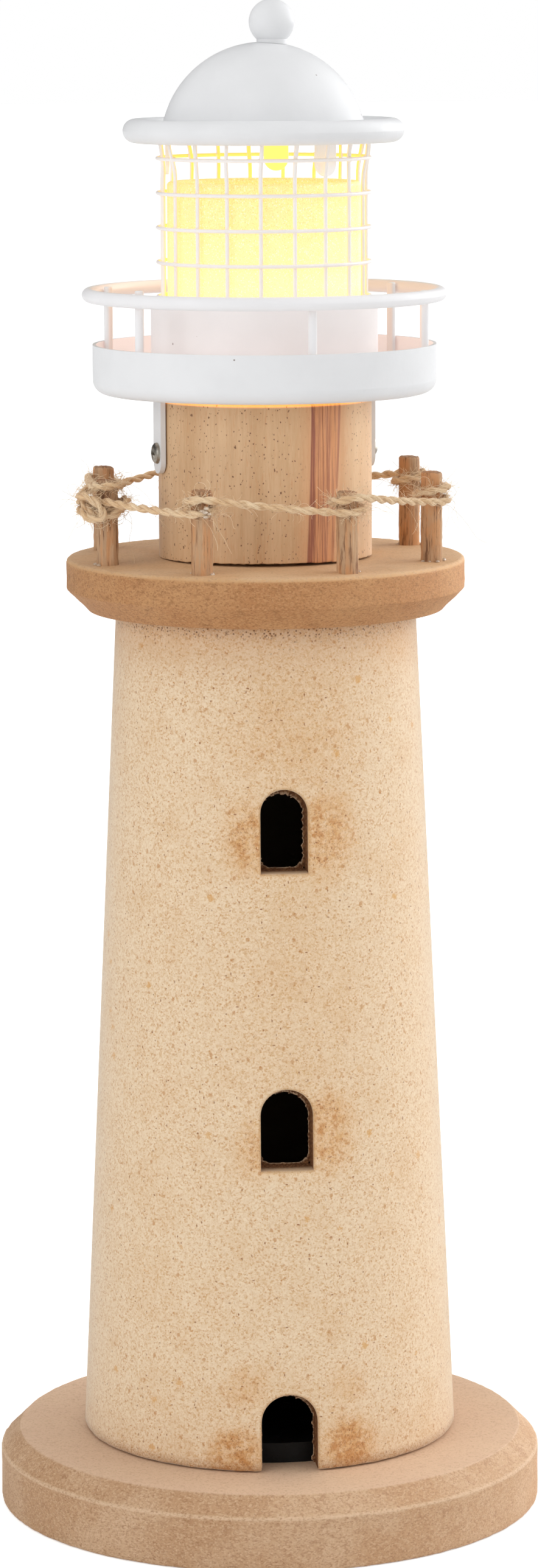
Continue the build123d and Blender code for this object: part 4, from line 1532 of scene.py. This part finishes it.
@dataclass
class Tower:
    """Hollow tapered tower with a doorway and two windows."""

    foot_z: float = BASE_TOP
    height: float = TOWER_TOP - BASE_TOP
    foot_radius: float = 56.4
    head_radius: float = 44.6
    wall: float = 10.5
    edge: float = 1.5
    patch: float = 26.0
    block: float = 13.0
    step: float = 2.2
    bevels: tuple[float, ...] = (0.0, 0.12, 0.4, 0.8, 1.3, 2.1, 3.2)
    bevel: float = 1.3
    back_columns: int = 120
    tear_step: float = 0.45
    rim_depth: float = 0.12
    reveal_depths: tuple[float, float] = (0.32, 0.5)
    reveal_steps: int = 6
    scorched_and_shaded_depth: float = 0.2
    arches: tuple[Arch, ...] = (
        Arch(width=16.6, height=23.1, sill=22.0, open_foot=True),
        Arch(width=15.4, height=24.0, sill=112.0),
        Arch(width=13.8, height=24.5, sill=199.6),
    )

    def __post_init__(self) -> None:
        """Work out the lines of the wall's grid."""
        near = [index * self.block / 9 for index in range(-9, 10)]
        far = [self.block + (self.patch - self.block) * index / 6 for index in range(1, 7)]
        self.columns = [-each for each in reversed(far)] + near + far
        head_z = self.foot_z + self.height
        marks = {self.foot_z, self.foot_z + self.edge, head_z - self.edge, head_z}
        for arch in self.arches:
            marks.update(self.block_levels(arch))
        levels = sorted(marks)
        self.rows = [levels[0]]
        for low, high in zip(levels, levels[1:]):
            count = max(1, round((high - low) / (0.4 if high - low < 2 else self.step)))
            self.rows += [low + (high - low) * (index + 1) / count for index in range(count)]

    def block_levels(self, arch: Arch) -> tuple[float, float]:
        """Lowest and highest level of the block of wall round an opening."""
        margin = self.block - arch.half
        return (self.foot_z if arch.open_foot else arch.sill - margin), arch.sill + arch.height + margin

    def radius(self, z: float, inner: bool) -> float:
        """Radius of the wall's outer or inner skin at a level.

        Args:
            z: The level.
            inner: Whether it is the bore's skin.

        Returns:
            Radius in millimetres.
        """
        share = (z - self.foot_z) / self.height
        radius = self.foot_radius + (self.head_radius - self.foot_radius) * share
        if inner:
            return radius - self.wall
        below = max(0.0, self.edge - min(z - self.foot_z, self.foot_z + self.height - z))
        return radius - self.edge + math.sqrt(max(0.0, self.edge ** 2 - below ** 2))

    def on_front(self, x: float, z: float, inner: bool, inset: float = 0.0) -> Vector:
        """Point on the front of a skin, set back from it by an inset."""
        return Vector((x, inset - math.sqrt(self.radius(z, inner) ** 2 - x * x), z)) * MM

    def skin(self, shape: Form, layer: bmesh.types.BMLayerItem, inner: bool) -> WallSkin:
        """Make one skin of the wall, with its openings.

        Args:
            shape: Mesh that the faces go into.
            layer: Layer that holds how deep in the wall a point is.
            inner: Whether it is the bore's skin.

        Returns:
            The skin's points.
        """
        made = WallSkin({}, [], [])
        depth = 1.0 if inner else 0.0
        inside: set[tuple[int, int]] = set()
        spans = []
        for arch in self.arches:
            low, high = [self.rows.index(level) for level in self.block_levels(arch)]
            left, right = self.columns.index(-self.block), self.columns.index(self.block)
            inside.update((i, j) for i in range(left, right) for j in range(low, high))
            spans.append((arch, left, right, low, high))

        def vertex(point: Vector, value: float) -> Point:
            """New point of the mesh with its depth.

            Args:
                point: Its place in metres.
                value: Its depth in the wall.

            Returns:
                The point.
            """
            each = shape.verts.new(point)
            each[layer] = value
            return each

        def crossing(i: int, j: int) -> Point:
            """Point of the grid, made on first use.

            Args:
                i: Its column.
                j: Its row.

            Returns:
                The point.
            """
            if (i, j) not in made.grid:
                made.grid[i, j] = vertex(self.on_front(self.columns[i], self.rows[j], inner), depth)
            return made.grid[i, j]

        last_column, last_row = len(self.columns) - 1, len(self.rows) - 1
        for i in range(last_column):
            for j in range(last_row):
                if (i, j) not in inside:
                    corners = ((i, j), (i + 1, j), (i + 1, j + 1), (i, j + 1))
                    shape.faces.new([crossing(*each) for each in corners])
        for k in range(self.back_columns + 1):
            column = []
            for j, z in enumerate(self.rows):
                if k in (0, self.back_columns):
                    column.append(crossing(last_column if k == 0 else 0, j))
                    continue
                radius = self.radius(z, inner)
                start = math.degrees(math.asin(self.patch / radius))
                turn = start + (360 - 2 * start) * k / self.back_columns
                column.append(vertex(spot(radius, turn, z), depth))
            made.back.append(column)
        for first, second in zip(made.back, made.back[1:]):
            strip(shape, first, second)
        for arch, left, right, low, high in spans:
            loop = [(left, j) for j in range(low, high)] + [(i, high) for i in range(left, right)]
            loop += [(right, j) for j in range(high, low, -1)]
            loop += [(right, low)] if arch.open_foot else [(i, low) for i in range(right, left, -1)]
            chains = []
            for i, j in loop:
                x, z = self.columns[i], self.rows[j]
                edge_x, edge_z = arch.facing(x, z)
                reach = math.hypot(x - edge_x, z - edge_z)
                chain = []
                for away in self.bevels:
                    share = min(away, reach * 0.8) / reach
                    rest = max(0.0, 1 - away / self.bevel)
                    inset = 0.0 if inner else self.bevel * (1 - math.sqrt(1 - rest * rest))
                    across, level = edge_x + (x - edge_x) * share, edge_z + (z - edge_z) * share
                    point = self.on_front(across, level, inner, inset)
                    chain.append(vertex(point, depth if inner else self.rim_depth * rest))
                chains.append(chain + [crossing(i, j)])
            made.blocks.append(chains)
            for first, second in self.neighbours(chains, arch):
                strip(shape, first, second)
        return made

    @staticmethod
    def neighbours(items: list, arch: Arch) -> list[tuple]:
        """Pairs of items that lie beside each other round an opening."""
        return list(zip(items, items[1:])) + ([] if arch.open_foot else [(items[-1], items[0])])

    def build(self) -> Piece:
        """Make the wall: both skins, the reveals of the openings, and the foot and the head.

        Returns:
            The wall.
        """
        shape = bmesh.new()
        layer = shape.verts.layers.float.new("depth")
        outer, inner = self.skin(shape, layer, False), self.skin(shape, layer, True)
        steps = self.reveal_steps
        least, more = self.reveal_depths
        for arch, near, far in zip(self.arches, outer.blocks, inner.blocks):
            ribs = []
            for first, last in zip(near, far):
                rib = [first[0]]
                for index in range(1, steps):
                    share = (index / steps) ** 1.6
                    each = shape.verts.new(first[0].co.lerp(last[0].co, share))
                    each[layer] = least + more * share
                    rib.append(each)
                ribs.append(rib + [last[0]])
            for first, second in self.neighbours(ribs, arch):
                strip(shape, first, second)
            if arch.open_foot:
                for near_chain, far_chain, rib in ((near[0], far[0], ribs[0]), (near[-1], far[-1], ribs[-1])):
                    shape.faces.new([near_chain[1], *rib, far_chain[1]])
                    for k in range(1, len(near_chain) - 1):
                        shape.faces.new((near_chain[k], near_chain[k + 1], far_chain[k + 1], far_chain[k]))
        last_row = len(self.rows) - 1
        for i in range(len(self.columns) - 1):
            for j in (0, last_row):
                if j == 0 and abs(self.columns[i] + self.columns[i + 1]) / 2 < self.block:
                    continue
                skin, bore = outer.grid, inner.grid
                shape.faces.new((skin[i, j], skin[i + 1, j], bore[i + 1, j], bore[i, j]))
        for k in range(self.back_columns):
            for j in (0, last_row):
                skin, bore = outer.back, inner.back
                shape.faces.new((skin[k][j], skin[k + 1][j], bore[k + 1][j], bore[k][j]))
        made = mesh_object("tower_wall", shape, sharp=50.0)
        wear(made, depth=0.5, size=1.6, where=lambda place: 0.7 if place.z < self.foot_z + 1.2 else 0.0)
        return made

    def build_lips(self) -> Piece:
        """Make the torn lips that the cut left at the inner end of each reveal.

        Returns:
            The lips.
        """
        shape = bmesh.new()
        layer = shape.verts.layers.float.new("tip")
        for arch in self.arches:
            line = arch.outline(self.tear_step)
            ribs = []
            for index, (x, z) in enumerate(line[:-1] if not arch.open_foot else line):
                before, after = line[index - 1 if index else 0], line[min(index + 1, len(line) - 1)]
                across = Vector((after[1] - before[1], before[0] - after[0])).normalized()
                apart = math.hypot(arch.half - abs(x), z - arch.sill)
                corner = 0.0 if arch.open_foot else max(0.0, 1 - apart / 3.2)
                ragged = noise.noise(Vector((x * 0.9, z * 0.9, arch.sill)))
                finer = noise.noise(Vector((x * 2.6, z * 2.6, arch.sill + 5)))
                reach = 0.4 + max(0.0, 0.9 * ragged + 0.6 * finer) + 1.4 * corner
                if z > arch.spring:
                    reach += 1.9 * max(0.0, -across.y) + 0.4 * max(0.0, -across.x)
                rib = []
                section = ((-0.4, -1.1, 0.0), (reach, -1.0, 1.0), (reach, -0.5, 1.0), (-0.4, -0.4, 0.0))
                for away, inset, tip in section:
                    point = self.on_front(x + across.x * away, z + across.y * away, True, inset)
                    rib.append(shape.verts.new(point))
                    rib[-1][layer] = tip
                ribs.append(rib)
            for first, second in self.neighbours(ribs, arch):
                for k in range(4):
                    shape.faces.new((first[k], second[k], second[(k + 1) % 4], first[(k + 1) % 4]))
            if arch.open_foot:
                shape.faces.new(ribs[0])
                shape.faces.new(ribs[-1])
        return mesh_object("torn_lips", shape, sharp=60.0)

    def dress(self) -> None:
        """Set the wall in its place and finish the discs at its foot and head."""
        wall = self.build()
        settle(wall, Slot.SHELL, TOWER_BOARD, "tower_shell")
        wall.data.materials.append(REVEAL_BOARD.material())
        # Faces deep in the wall, the reveals and the bore, take the reveal finish, whose dark back is painted
        # shade.
        depths = wall.data.attributes["depth"].data
        for face in wall.data.polygons:
            if sum(depths[index].value for index in face.vertices) > self.scorched_and_shaded_depth * len(face.vertices):
                face.material_index = 1
        settle(self.build_lips(), Slot.SHELL, REVEAL_BOARD)
        dress_nodes(BLACK_DISC, "foot_disc")
        dress_nodes(PLAIN_BOARD, "head_disc")


@dataclass
class Gallery:
    """Gallery board, bevelled below, and the turned neck on it."""

    foot_z: float = TOWER_TOP
    thickness: float = GALLERY_TOP - TOWER_TOP
    radius: float = 59.3
    bevel_height: float = 6.3
    bevel_run: float = 6.5
    top_edge: float = 1.5
    neck_radius: float = 31.6
    neck_height: float = NECK_TOP - GALLERY_TOP
    neck_tilt: float = 0.9
    steps: int = 220

    @property
    def top_z(self) -> float:
        """Level of the board's top."""
        return self.foot_z + self.thickness

    def build_board(self) -> Piece:
        """Turn the board and wear its rim.

        Returns:
            The board.
        """
        bottom = self.radius - self.bevel_run
        rim_z = self.foot_z + self.bevel_height
        corners = [(0, self.foot_z, 0), (bottom, self.foot_z, 0.5), (self.radius, rim_z, 0.7),
                   (self.radius, self.top_z, self.top_edge), (0, self.top_z, 0)]
        shape = turning(corners, step=2.0, steps=self.steps)
        made = mesh_object("gallery_board", shape, sharp=60.0)
        wear(made, depth=0.3, size=1.8, where=outside(bottom + 1))
        return made

    def build_neck(self) -> Piece:
        """Turn the neck, whose foot stands off the board at the front and is ragged there.

        Returns:
            The neck.
        """
        foot, top = self.top_z, self.top_z + self.neck_height
        corners = [(0, foot, 0), (self.neck_radius, foot, 0.35), (self.neck_radius, top, 0.4), (0, top, 0)]
        shape = turning(corners, step=1.6, steps=self.steps)
        for vertex in shape.verts:
            place = vertex.co / MM
            low = max(0.0, 1 - (place.z - self.top_z) / 3.2)
            front = max(0.0, -place.y / self.neck_radius)
            edge = 1.0 if math.hypot(place.x, place.y) > self.neck_radius - 1.5 else 0.0
            ragged = 0.35 * noise.noise(place / 1.3) * edge * min(1.0, 3 * front)
            vertex.co.z += max(0.0, self.neck_tilt * front + ragged) * low * MM
        return mesh_object("neck_turning", shape, sharp=55.0)

    def dress(self) -> None:
        """Set the board and the neck in their places."""
        settle(self.build_board(), Slot.GALLERY, GALLERY_BOARD, "gallery_plate")
        settle(self.build_neck(), Slot.NECK, NECK_WOOD, "neck")
        dress_nodes(SCREW_STEEL, "neck_screws")


@dataclass
class RopeRail:
    """Dowel posts on the gallery, the jute rope that is wound round them, its knot and its loose fibres."""

    foot_z: float = GALLERY_TOP
    circle: float = 51.5
    post_radius: float = 3.25
    socket: float = 7.0
    angles: tuple[float, ...] = (-70.0, -27.0, 21.0, 65.0, 116.0, 158.0, 201.0, 244.0)
    heights: tuple[float, ...] = (25.1, 24.5, 23.7, 26.5, 27.0, 25.5, 24.9, 25.3)
    diameter: float = 2.8
    length: float = 621.0
    clearance: float = 0.3
    level: float = 17.5
    climb: float = 4.5
    knot_dip: float = 2.6
    knot_step: float = 3.8
    start_turn: float = 400.0
    end_turn: float = 250.0
    end_climb: float = 0.4
    sag: float = 0.5
    turn_points: int = 14
    lay: float = 9.5
    squeeze: float = 0.4
    strand_step: float = 0.35
    strand_offset: float = 0.56
    strand_radius: float = 0.68
    fibre_kinds: tuple[tuple[int, float, float, float], ...] = (
        (1700, 1.5, 4.5, 0.0),
        (240, 4.0, 9.0, 0.03),
        (40, 10.0, 24.0, 0.08),
    )
    fibre_step: float = 0.9
    fibre_radius: float = 0.055
    dab_flatness: float = 0.6
    seed: int = 11

    @property
    def wrap(self) -> float:
        """Radius of the rope's centre line round a post."""
        return self.post_radius + self.clearance + self.diameter / 2

    def centre(self, index: int) -> Vector:
        """Axis of a post, in millimetres."""
        return spot(self.circle, self.angles[index], 0.0) / MM

    def turn(self, index: int, first: float, degrees: float, low: float, climb: float) -> list[Vector]:
        """Control points of the rope's turn round a post.

        Args:
            index: The post.
            first: Direction of the first point from the post's axis, in radians.
            degrees: How far the rope goes round.
            low: Level of the first point.
            climb: Rise over the turn.

        Returns:
            Points in millimetres.
        """
        count = round(self.turn_points * degrees / 360)
        outward = (self.wrap - self.squeeze) / math.cos(math.pi / self.turn_points)
        points = []
        for step in range(count + 1):
            angle = first + math.radians(degrees) * step / count
            reach = Vector((math.cos(angle), math.sin(angle), 0.0)) * outward
            points.append(self.centre(index) + reach + Vector((0, 0, low + climb * step / count)))
        return points

    def route(self) -> list[Vector]:
        """Control points of the whole rope, from the knot round every post and back to it.

        Returns:
            Points in millimetres.
        """
        count = len(self.angles)
        sides = []
        for index in range(count):
            ahead = (self.centre((index + 1) % count) - self.centre(index)).normalized()
            sides.append(math.atan2(-ahead.x, ahead.y))
        low = self.foot_z + self.level
        knot_low = low - self.knot_dip
        points = self.turn(0, sides[0] - math.radians(self.start_turn), self.start_turn, knot_low, self.climb)
        for index in range(1, count):
            turn = 360 + math.degrees(sides[index] - sides[index - 1]) % 360
            winding = self.turn(index, sides[index - 1], turn, low, self.climb)
            points += [self.middle(points[-1], winding[0]), *winding]
        ending_low = knot_low + self.climb + self.knot_step
        ending = self.turn(0, sides[-1], self.end_turn, ending_low, self.end_climb)
        return points + [self.middle(points[-1], ending[0]), *ending]

    def middle(self, first: Vector, last: Vector) -> Vector:
        """Sagging control point of a span between two posts."""
        return (first + last) / 2 - Vector((0, 0, self.sag))

    def knot_route(self) -> list[Vector]:
        """Control points of the knot's loops over the turns on the first post.

        Returns:
            Points in millimetres.
        """
        centre = self.centre(0)
        outward = math.atan2(centre.y, centre.x)
        low = self.foot_z + self.level - 1.4
        steps = [
            (-150, 5.0, 5.4), (-110, 5.6, 6.4), (-76, 6.6, 7.0), (-46, 7.3, 5.6), (-20, 7.4, 3.2),
            (6, 7.2, 0.8), (32, 6.9, -0.9), (60, 6.6, -1.6), (90, 6.4, -0.6), (118, 6.2, 1.2),
            (146, 6.0, 2.6), (176, 6.0, 3.0), (206, 6.0, 2.4), (236, 6.2, 1.2), (264, 6.6, 0.2),
            (290, 7.2, 0.4), (316, 8.0, 1.6), (340, 8.5, 3.4), (362, 8.5, 4.8), (384, 8.2, 4.4),
            (404, 7.9, 2.6), (418, 7.8, 0.2), (414, 8.2, -1.8), (396, 8.6, -2.2), (374, 8.6, -0.8),
            (352, 8.3, 0.4), (328, 7.6, 0.2), (302, 6.6, -0.8), (276, 5.6, -1.8), (250, 5.0, -2.4),
        ]
        points = []
        for angle, radius, rise in steps:
            turn = outward + math.radians(angle)
            points.append(centre + Vector((radius * math.cos(turn), radius * math.sin(turn), low + rise)))
        return points

    def build_posts(self) -> list[Piece]:
        """Make the dowels, each with its own rounded and slightly slanting top.

        Returns:
            The posts.
        """
        posts = []
        for index, height in enumerate(self.heights):
            top = self.foot_z + height
            corners = [(0, self.foot_z - self.socket, 0), (self.post_radius, self.foot_z - self.socket, 0),
                       (self.post_radius, top, 0.9), (0, top, 0)]
            shape = turning(corners, step=1.2, steps=28)
            centre = self.centre(index)
            for vertex in shape.verts:
                place = vertex.co / MM
                seed = place * 0.55 + Vector((index * 9.1, 0, 0))
                if place.z > self.foot_z:
                    flat = Vector((place.x, place.y, 0))
                    worn = 1 - 0.06 * max(0.0, 0.5 + noise.noise(seed))
                    place = flat * worn + Vector((0, 0, place.z))
                if place.z > top - 1.5:
                    place.z -= 0.35 * max(0.0, 0.6 + noise.noise(seed * 1.7) + 0.12 * place.x)
                vertex.co = (place + centre) * MM
            posts.append(mesh_object(f"post_{index + 1}", shape, sharp=50.0))
        return posts

    def build_fibres(self, line: Sequence[Vector]) -> list[list[Vector]]:
        """Lines of the loose fibres along the rope.

        Args:
            line: Rope's centre line in metres.

        Returns:
            Points of each fibre in metres.
        """
        dice = random.Random(self.seed)
        fibres = []
        for count, shortest, longest, droop in self.fibre_kinds:
            for _ in range(count):
                index = dice.randrange(1, len(line) - 1)
                way = (line[index + 1] - line[index - 1]).normalized()
                out = Quaternion(way, dice.uniform(0, 2 * math.pi)) @ way.orthogonal().normalized()
                start = line[index] + out * (0.42 * self.diameter * MM)
                fibres.append(self.fibre(dice, start, way, out, dice.uniform(shortest, longest), droop))
        return fibres

    def fibre(self, dice: random.Random, start: Vector, way: Vector, out: Vector, length: float, droop: float,
              ) -> list[Vector]:
        """Points of one fibre that springs from the rope and curls.

        Args:
            dice: Source of chance.
            start: Root of the fibre, in metres.
            way: Direction of the rope there.
            out: Direction away from the rope's middle.
            length: Length in millimetres.
            droop: How much each step turns down.

        Returns:
            Points in metres.
        """
        steps = max(5, round(length / self.fibre_step))
        lift = dice.uniform(0.1, 0.55) if length < 4.5 else dice.uniform(0.3, 1.0)
        heading = (out * lift + way * dice.choice((-1, 1)) * dice.uniform(0.6, 1.6)).normalized()
        axis = Vector([dice.uniform(-1, 1) for _ in range(3)]).normalized()
        bend = Quaternion(axis, math.radians(dice.uniform(-30, 30)))
        points = [start]
        for _ in range(steps):
            heading = bend @ heading
            jitter = Vector([dice.uniform(-0.2, 0.2) for _ in range(3)])
            heading = (heading + jitter - Vector((0, 0, droop))).normalized()
            place = points[-1] + heading * (length / steps * MM)
            place.z = max(place.z, (self.foot_z + 0.25) * MM)
            points.append(place)
        return points

    def glue_dabs(self) -> tuple[list[Vector], list[float]]:
        """Places and sizes of the glue dabs at the foot of the posts and on the rope.

        Returns:
            Places in metres and radii in metres.
        """
        dice = random.Random(self.seed + 1)
        places, sizes = [], []
        for index in range(len(self.angles)):
            for _ in range(4):
                turn = dice.uniform(0, 2 * math.pi)
                reach = self.post_radius + dice.uniform(-0.1, 0.5)
                spread = Vector((math.cos(turn), math.sin(turn), 0)) * reach
                places.append((self.centre(index) + spread + Vector((0, 0, self.foot_z + 0.1))) * MM)
                sizes.append(dice.uniform(0.35, 0.95) * MM)
        front = self.centre(1) + Vector((0.4, -self.wrap - 1.0, self.foot_z + self.level + 0.9))
        for shift in ((0, 0, 0), (1.1, 0.2, -0.5), (-0.9, 0.3, 0.4), (0.3, 0.3, 1.1), (0.2, 0.2, -1.3)):
            places.append((front + Vector(shift)) * MM)
            sizes.append((0.85 - 0.12 * abs(shift[0])) * MM)
        return places, sizes

    def dress(self) -> None:
        """Make every piece and set it in its place."""
        for index, post in enumerate(self.build_posts()):
            settle(post, Slot.POST, POST_WOOD, f"rope_post_{index + 1}")
        line = spline_points([point * MM for point in self.route()])
        twist = {
            "Step": self.strand_step * MM,
            "Lay": self.lay * MM,
            "Offset": self.strand_offset * MM,
            "Strand": self.strand_radius * MM,
        }
        shape = strand_shape()
        rope = shape.run(line_object([line]), "rope_strands", STRANDS, **twist)
        settle(rope, Slot.JUTE, None, "rope")
        knot_line = spline_points([point * MM for point in self.knot_route()])
        knot = shape.run(line_object([knot_line]), "rope_knot", STRANDS, **twist)
        settle(knot, Slot.JUTE, None)
        loose = self.build_fibres(line) + self.build_fibres(knot_line)[::6]
        thickness = self.fibre_radius * MM
        fibres = fibre_shape().run(line_object(loose), "rope_fibres", FIBRES, Thickness=thickness)
        settle(fibres, Slot.JUTE, None)
        places, sizes = self.glue_dabs()
        spots = point_object(places, size=sizes)
        dabs = bead_shape().run(spots, "glue_dabs", GLUE, Flatness=self.dab_flatness)
        settle(dabs, Slot.JUTE, None)


@dataclass
class Lantern:
    """White metal lantern: straps, tray, drum, rail and wire cage."""

    neck_radius: float = 31.6
    strap_clearance: float = 0.3
    strap_thickness: float = 1.5
    strap_angles: tuple[float, ...] = (-78.0, 102.0)
    tray_z: float = 336.0
    floor_z: float = TRAY_FLOOR
    screw_drop: float = 17.0
    head_radius: float = 3.15
    head_height: float = 1.5
    recess: float = 0.8
    cross_half: float = 0.42
    cross_reach: float = 1.75
    cage_radius: float = 30.1
    cage_height: float = 75.0
    uprights: int = 19
    wire: float = 1.2
    first_angle: float = -8.0
    flare: float = 1.6
    bend: float = 4.0
    bent_length: float = 16.0
    rings: int = 7
    ring_radius: float = 31.25
    ring_wire: float = 1.1
    first_ring: float = 7.2
    ring_pitch: float = 10.1
    weld: float = 0.75
    seed: int = 5

    def build_screw(self) -> Piece:
        """Make a pan-head screw that faces -Y, with a cross recess.

        Returns:
            The screw.
        """
        shape = bmesh.new()
        steps, rings = 72, 24
        levels = []
        for ring in range(rings + 1):
            reach = self.head_radius * ring / rings
            row = []
            for index in range(steps if ring else 1):
                turn = 2 * math.pi * index / steps
                x, z = reach * math.cos(turn), reach * math.sin(turn)
                out = self.head_height * math.sqrt(max(0.0, 1 - (reach / self.head_radius) ** 3.2))
                least, most = sorted((abs(x), abs(z)))
                arm = least < self.cross_half and most < self.cross_reach
                row.append(shape.verts.new(Vector((x, -out + (self.recess if arm else 0.0), z)) * MM))
            levels.append(row)
        back = [shape.verts.new(Vector((vertex.co.x, 0.0, vertex.co.z))) for vertex in levels[-1]]
        for low, high in zip(levels, levels[1:] + [back]):
            for index in range(steps):
                after = (index + 1) % steps
                corners = [low[index % len(low)], low[after % len(low)], high[after], high[index]]
                shape.faces.new(list(dict.fromkeys(corners)))
        shape.faces.new(back)
        return mesh_object("screw", shape, sharp=35.0)

    def dress(self) -> None:
        """Make the cage and the screws, and finish the sheet-metal pieces."""
        dress_nodes(WHITE_COAT, "strap_left", "strap_right")
        dress_nodes(TRAY_COAT, "tray")
        dress_nodes(DRUM_COAT, "drum")
        dress_nodes(RAIL_COAT, "rail_ring", *[f"rail_stanchion_{index + 1}" for index in range(6)])
        screw = self.build_screw()
        seat = self.neck_radius + self.strap_clearance + self.strap_thickness
        places = [spot(seat, angle, self.tray_z - self.screw_drop) for angle in self.strap_angles]
        turns = [math.radians(angle) for angle in self.strap_angles]
        seats = point_object(places, turn=turns)
        heads = screw_shape().run(seats, "strap_screw_heads", SCREW_STEEL, Screw=screw)
        settle(heads, Slot.STEEL, None, "strap_screws")
        bpy.data.objects.remove(screw)
        sizes = {
            "Radius": self.cage_radius,
            "Wire": self.wire / 2,
            "Foot": self.floor_z,
            "Top": self.floor_z + self.cage_height,
            "Flare": self.flare,
            "Bend": self.bend,
            "Bent": self.bent_length,
            "Ring_Radius": self.ring_radius,
            "Ring_Wire": self.ring_wire / 2,
            "First": self.floor_z + self.first_ring,
            "Pitch": self.ring_pitch,
            "Weld": self.weld,
        }
        cage = cage_shape().run(
            point_object([Vector()]), "wire_cage", CAGE_COAT, Uprights=self.uprights, Rings=self.rings,
            Turn=math.radians(self.first_angle - 90), Seed=self.seed,
            **{label: size * MM for label, size in sizes.items()})
        settle(cage, Slot.METAL, None, "cage_uprights", "cage_rings")


@dataclass
class Light:
    """Glass cup with the tealight in it."""

    def dress(self) -> None:
        """Finish the cup and the tealight's pieces."""
        dress_nodes(CUP_GLASS, "glass_cup")
        dress_nodes(TEALIGHT_PLASTIC, "tealight_body", "tealight_cover")
        dress_nodes(TIP_PLASTIC, "tealight_tip")
        dress_nodes(SCREW_STEEL, "tealight_battery")


@dataclass
class Roof:
    """Lift-off roof: dome, brim, tabs and finial."""

    def dress(self) -> None:
        """Finish the roof's pieces."""
        dress_nodes(WHITE_COAT, "roof_dome", "roof_brim")
        dress_nodes(TAB_COAT, *[f"roof_tab_{index + 1}" for index in range(3)])
        dress_nodes(FINIAL_COAT, "finial_ball")
        dress_nodes(SCREW_STEEL, "finial_screw")


@dataclass
class Studio:
    """Pale floor, soft light and the camera at the photograph's place."""

    floor_size: float = 40.0
    camera_mm: Colour = (-159.6, -1445.2, 451.0)
    lens: float = 112.9
    pitch: float = 9.08
    yaw: float = -6.33
    roll: float = -0.27
    bright_side: Colour = (0.78, 0.62, 0.08)
    shiny_side: Colour = (0.97, -0.2, 0.0)
    dim: float = 0.56
    mirrored: tuple[float, float] = (0.05, 9.5)
    bright: float = 1.47

    def build_floor(self) -> None:
        """Lay the floor."""
        shape = bmesh.new()
        bmesh.ops.create_grid(shape, x_segments=1, y_segments=1, size=self.floor_size / 2)
        floor = mesh_object("floor", shape)
        shader = Shader("floor_finish")
        cloud = shader.noise(shader.position(), 400.0, 2.0)
        pale, paler = (0.90, 0.90, 0.90), (0.92, 0.92, 0.92)
        shader.set("Base Color", shader.blend(shader.level(cloud, 0.3, 0.7), pale, paler))
        shader.set("Roughness", 0.9)
        shader.set("Specular IOR Level", 0.1)
        shader.set("Emission Color", (1.0, 1.0, 1.0))
        seen = shader.node("ShaderNodeLightPath").outputs["Is Camera Ray"]
        shader.set("Emission Strength", shader.times(seen, 0.45))
        floor.data.materials.append(shader.material)

    def build_light(self) -> None:
        """Light the scene by the world and three soft lamps."""
        world = bpy.data.worlds.new("studio")
        world.use_nodes = True
        bpy.context.scene.world = world
        graph = Graph(world.node_tree)
        way = graph.node("ShaderNodeTexCoord").outputs["Generated"]
        back = graph.level(graph.dot(way, self.bright_side), -0.2, 1.0, self.dim, self.bright)
        shine = graph.level(graph.dot(way, self.shiny_side), 0.15, 0.9, *self.mirrored)
        path = graph.node("ShaderNodeLightPath").outputs
        mirrored = graph.result("ShaderNodeMix", path["Is Glossy Ray"], back, shine, data_type="FLOAT")
        strength = graph.result("ShaderNodeMix", path["Is Camera Ray"], mirrored, 1.0, data_type="FLOAT")
        ground = world.node_tree.nodes["Background"]
        graph.feed(ground.inputs["Color"], (1.0, 1.0, 1.0))
        graph.feed(ground.inputs["Strength"], strength)
        lamps = (
            ("front_left", (-1.8, -1.45, 0.9), 1.3, 14.5),
            ("top_left", (-0.7, -0.6, 2.1), 1.2, 7.0),
            ("right", (1.7, 0.3, 0.9), 0.8, 5.0),
        )
        for name, place, size, power in lamps:
            light = bpy.data.lights.new(name, "AREA")
            light.size = size
            light.energy = power
            lamp = bpy.data.objects.new(name, light)
            lamp.location = place
            aim = Vector((0, 0, 0.25)) - Vector(place)
            lamp.rotation_euler = aim.to_track_quat("-Z", "Y").to_euler()
            bpy.context.scene.collection.objects.link(lamp)

    def build_camera(self) -> None:
        """Set the camera at the photograph's place."""
        data = bpy.data.cameras.new("camera")
        data.sensor_fit = "VERTICAL"
        data.sensor_height = 36.0
        data.lens = self.lens
        data.clip_end = 100.0
        camera = bpy.data.objects.new("camera", data)
        camera.location = Vector(self.camera_mm) * MM
        turn = Quaternion((0, 0, 1), math.radians(self.yaw))
        turn = turn @ Quaternion((1, 0, 0), math.radians(90 - self.pitch))
        turn = turn @ Quaternion((0, 0, 1), math.radians(self.roll))
        camera.rotation_mode = "QUATERNION"
        camera.rotation_quaternion = turn
        bpy.context.scene.collection.objects.link(camera)
        bpy.context.scene.camera = camera
        bpy.context.scene.view_settings.view_transform = "Standard"

    def dress(self) -> None:
        """Set up the studio."""
        self.build_floor()
        self.build_light()
        self.build_camera()


def main() -> None:
    """Build and dress the ornament from the base up, and light it."""
    logging.basicConfig(level=logging.INFO, format="%(name)s: %(message)s")
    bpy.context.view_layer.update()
    for part in (Studio(), RopeRail(), Base(), Tower(), Gallery(), Lantern(), Light(), Roof()):
        LOG.info("%s", type(part).__name__)
        part.dress()


if __name__ == "__main__":
    main()
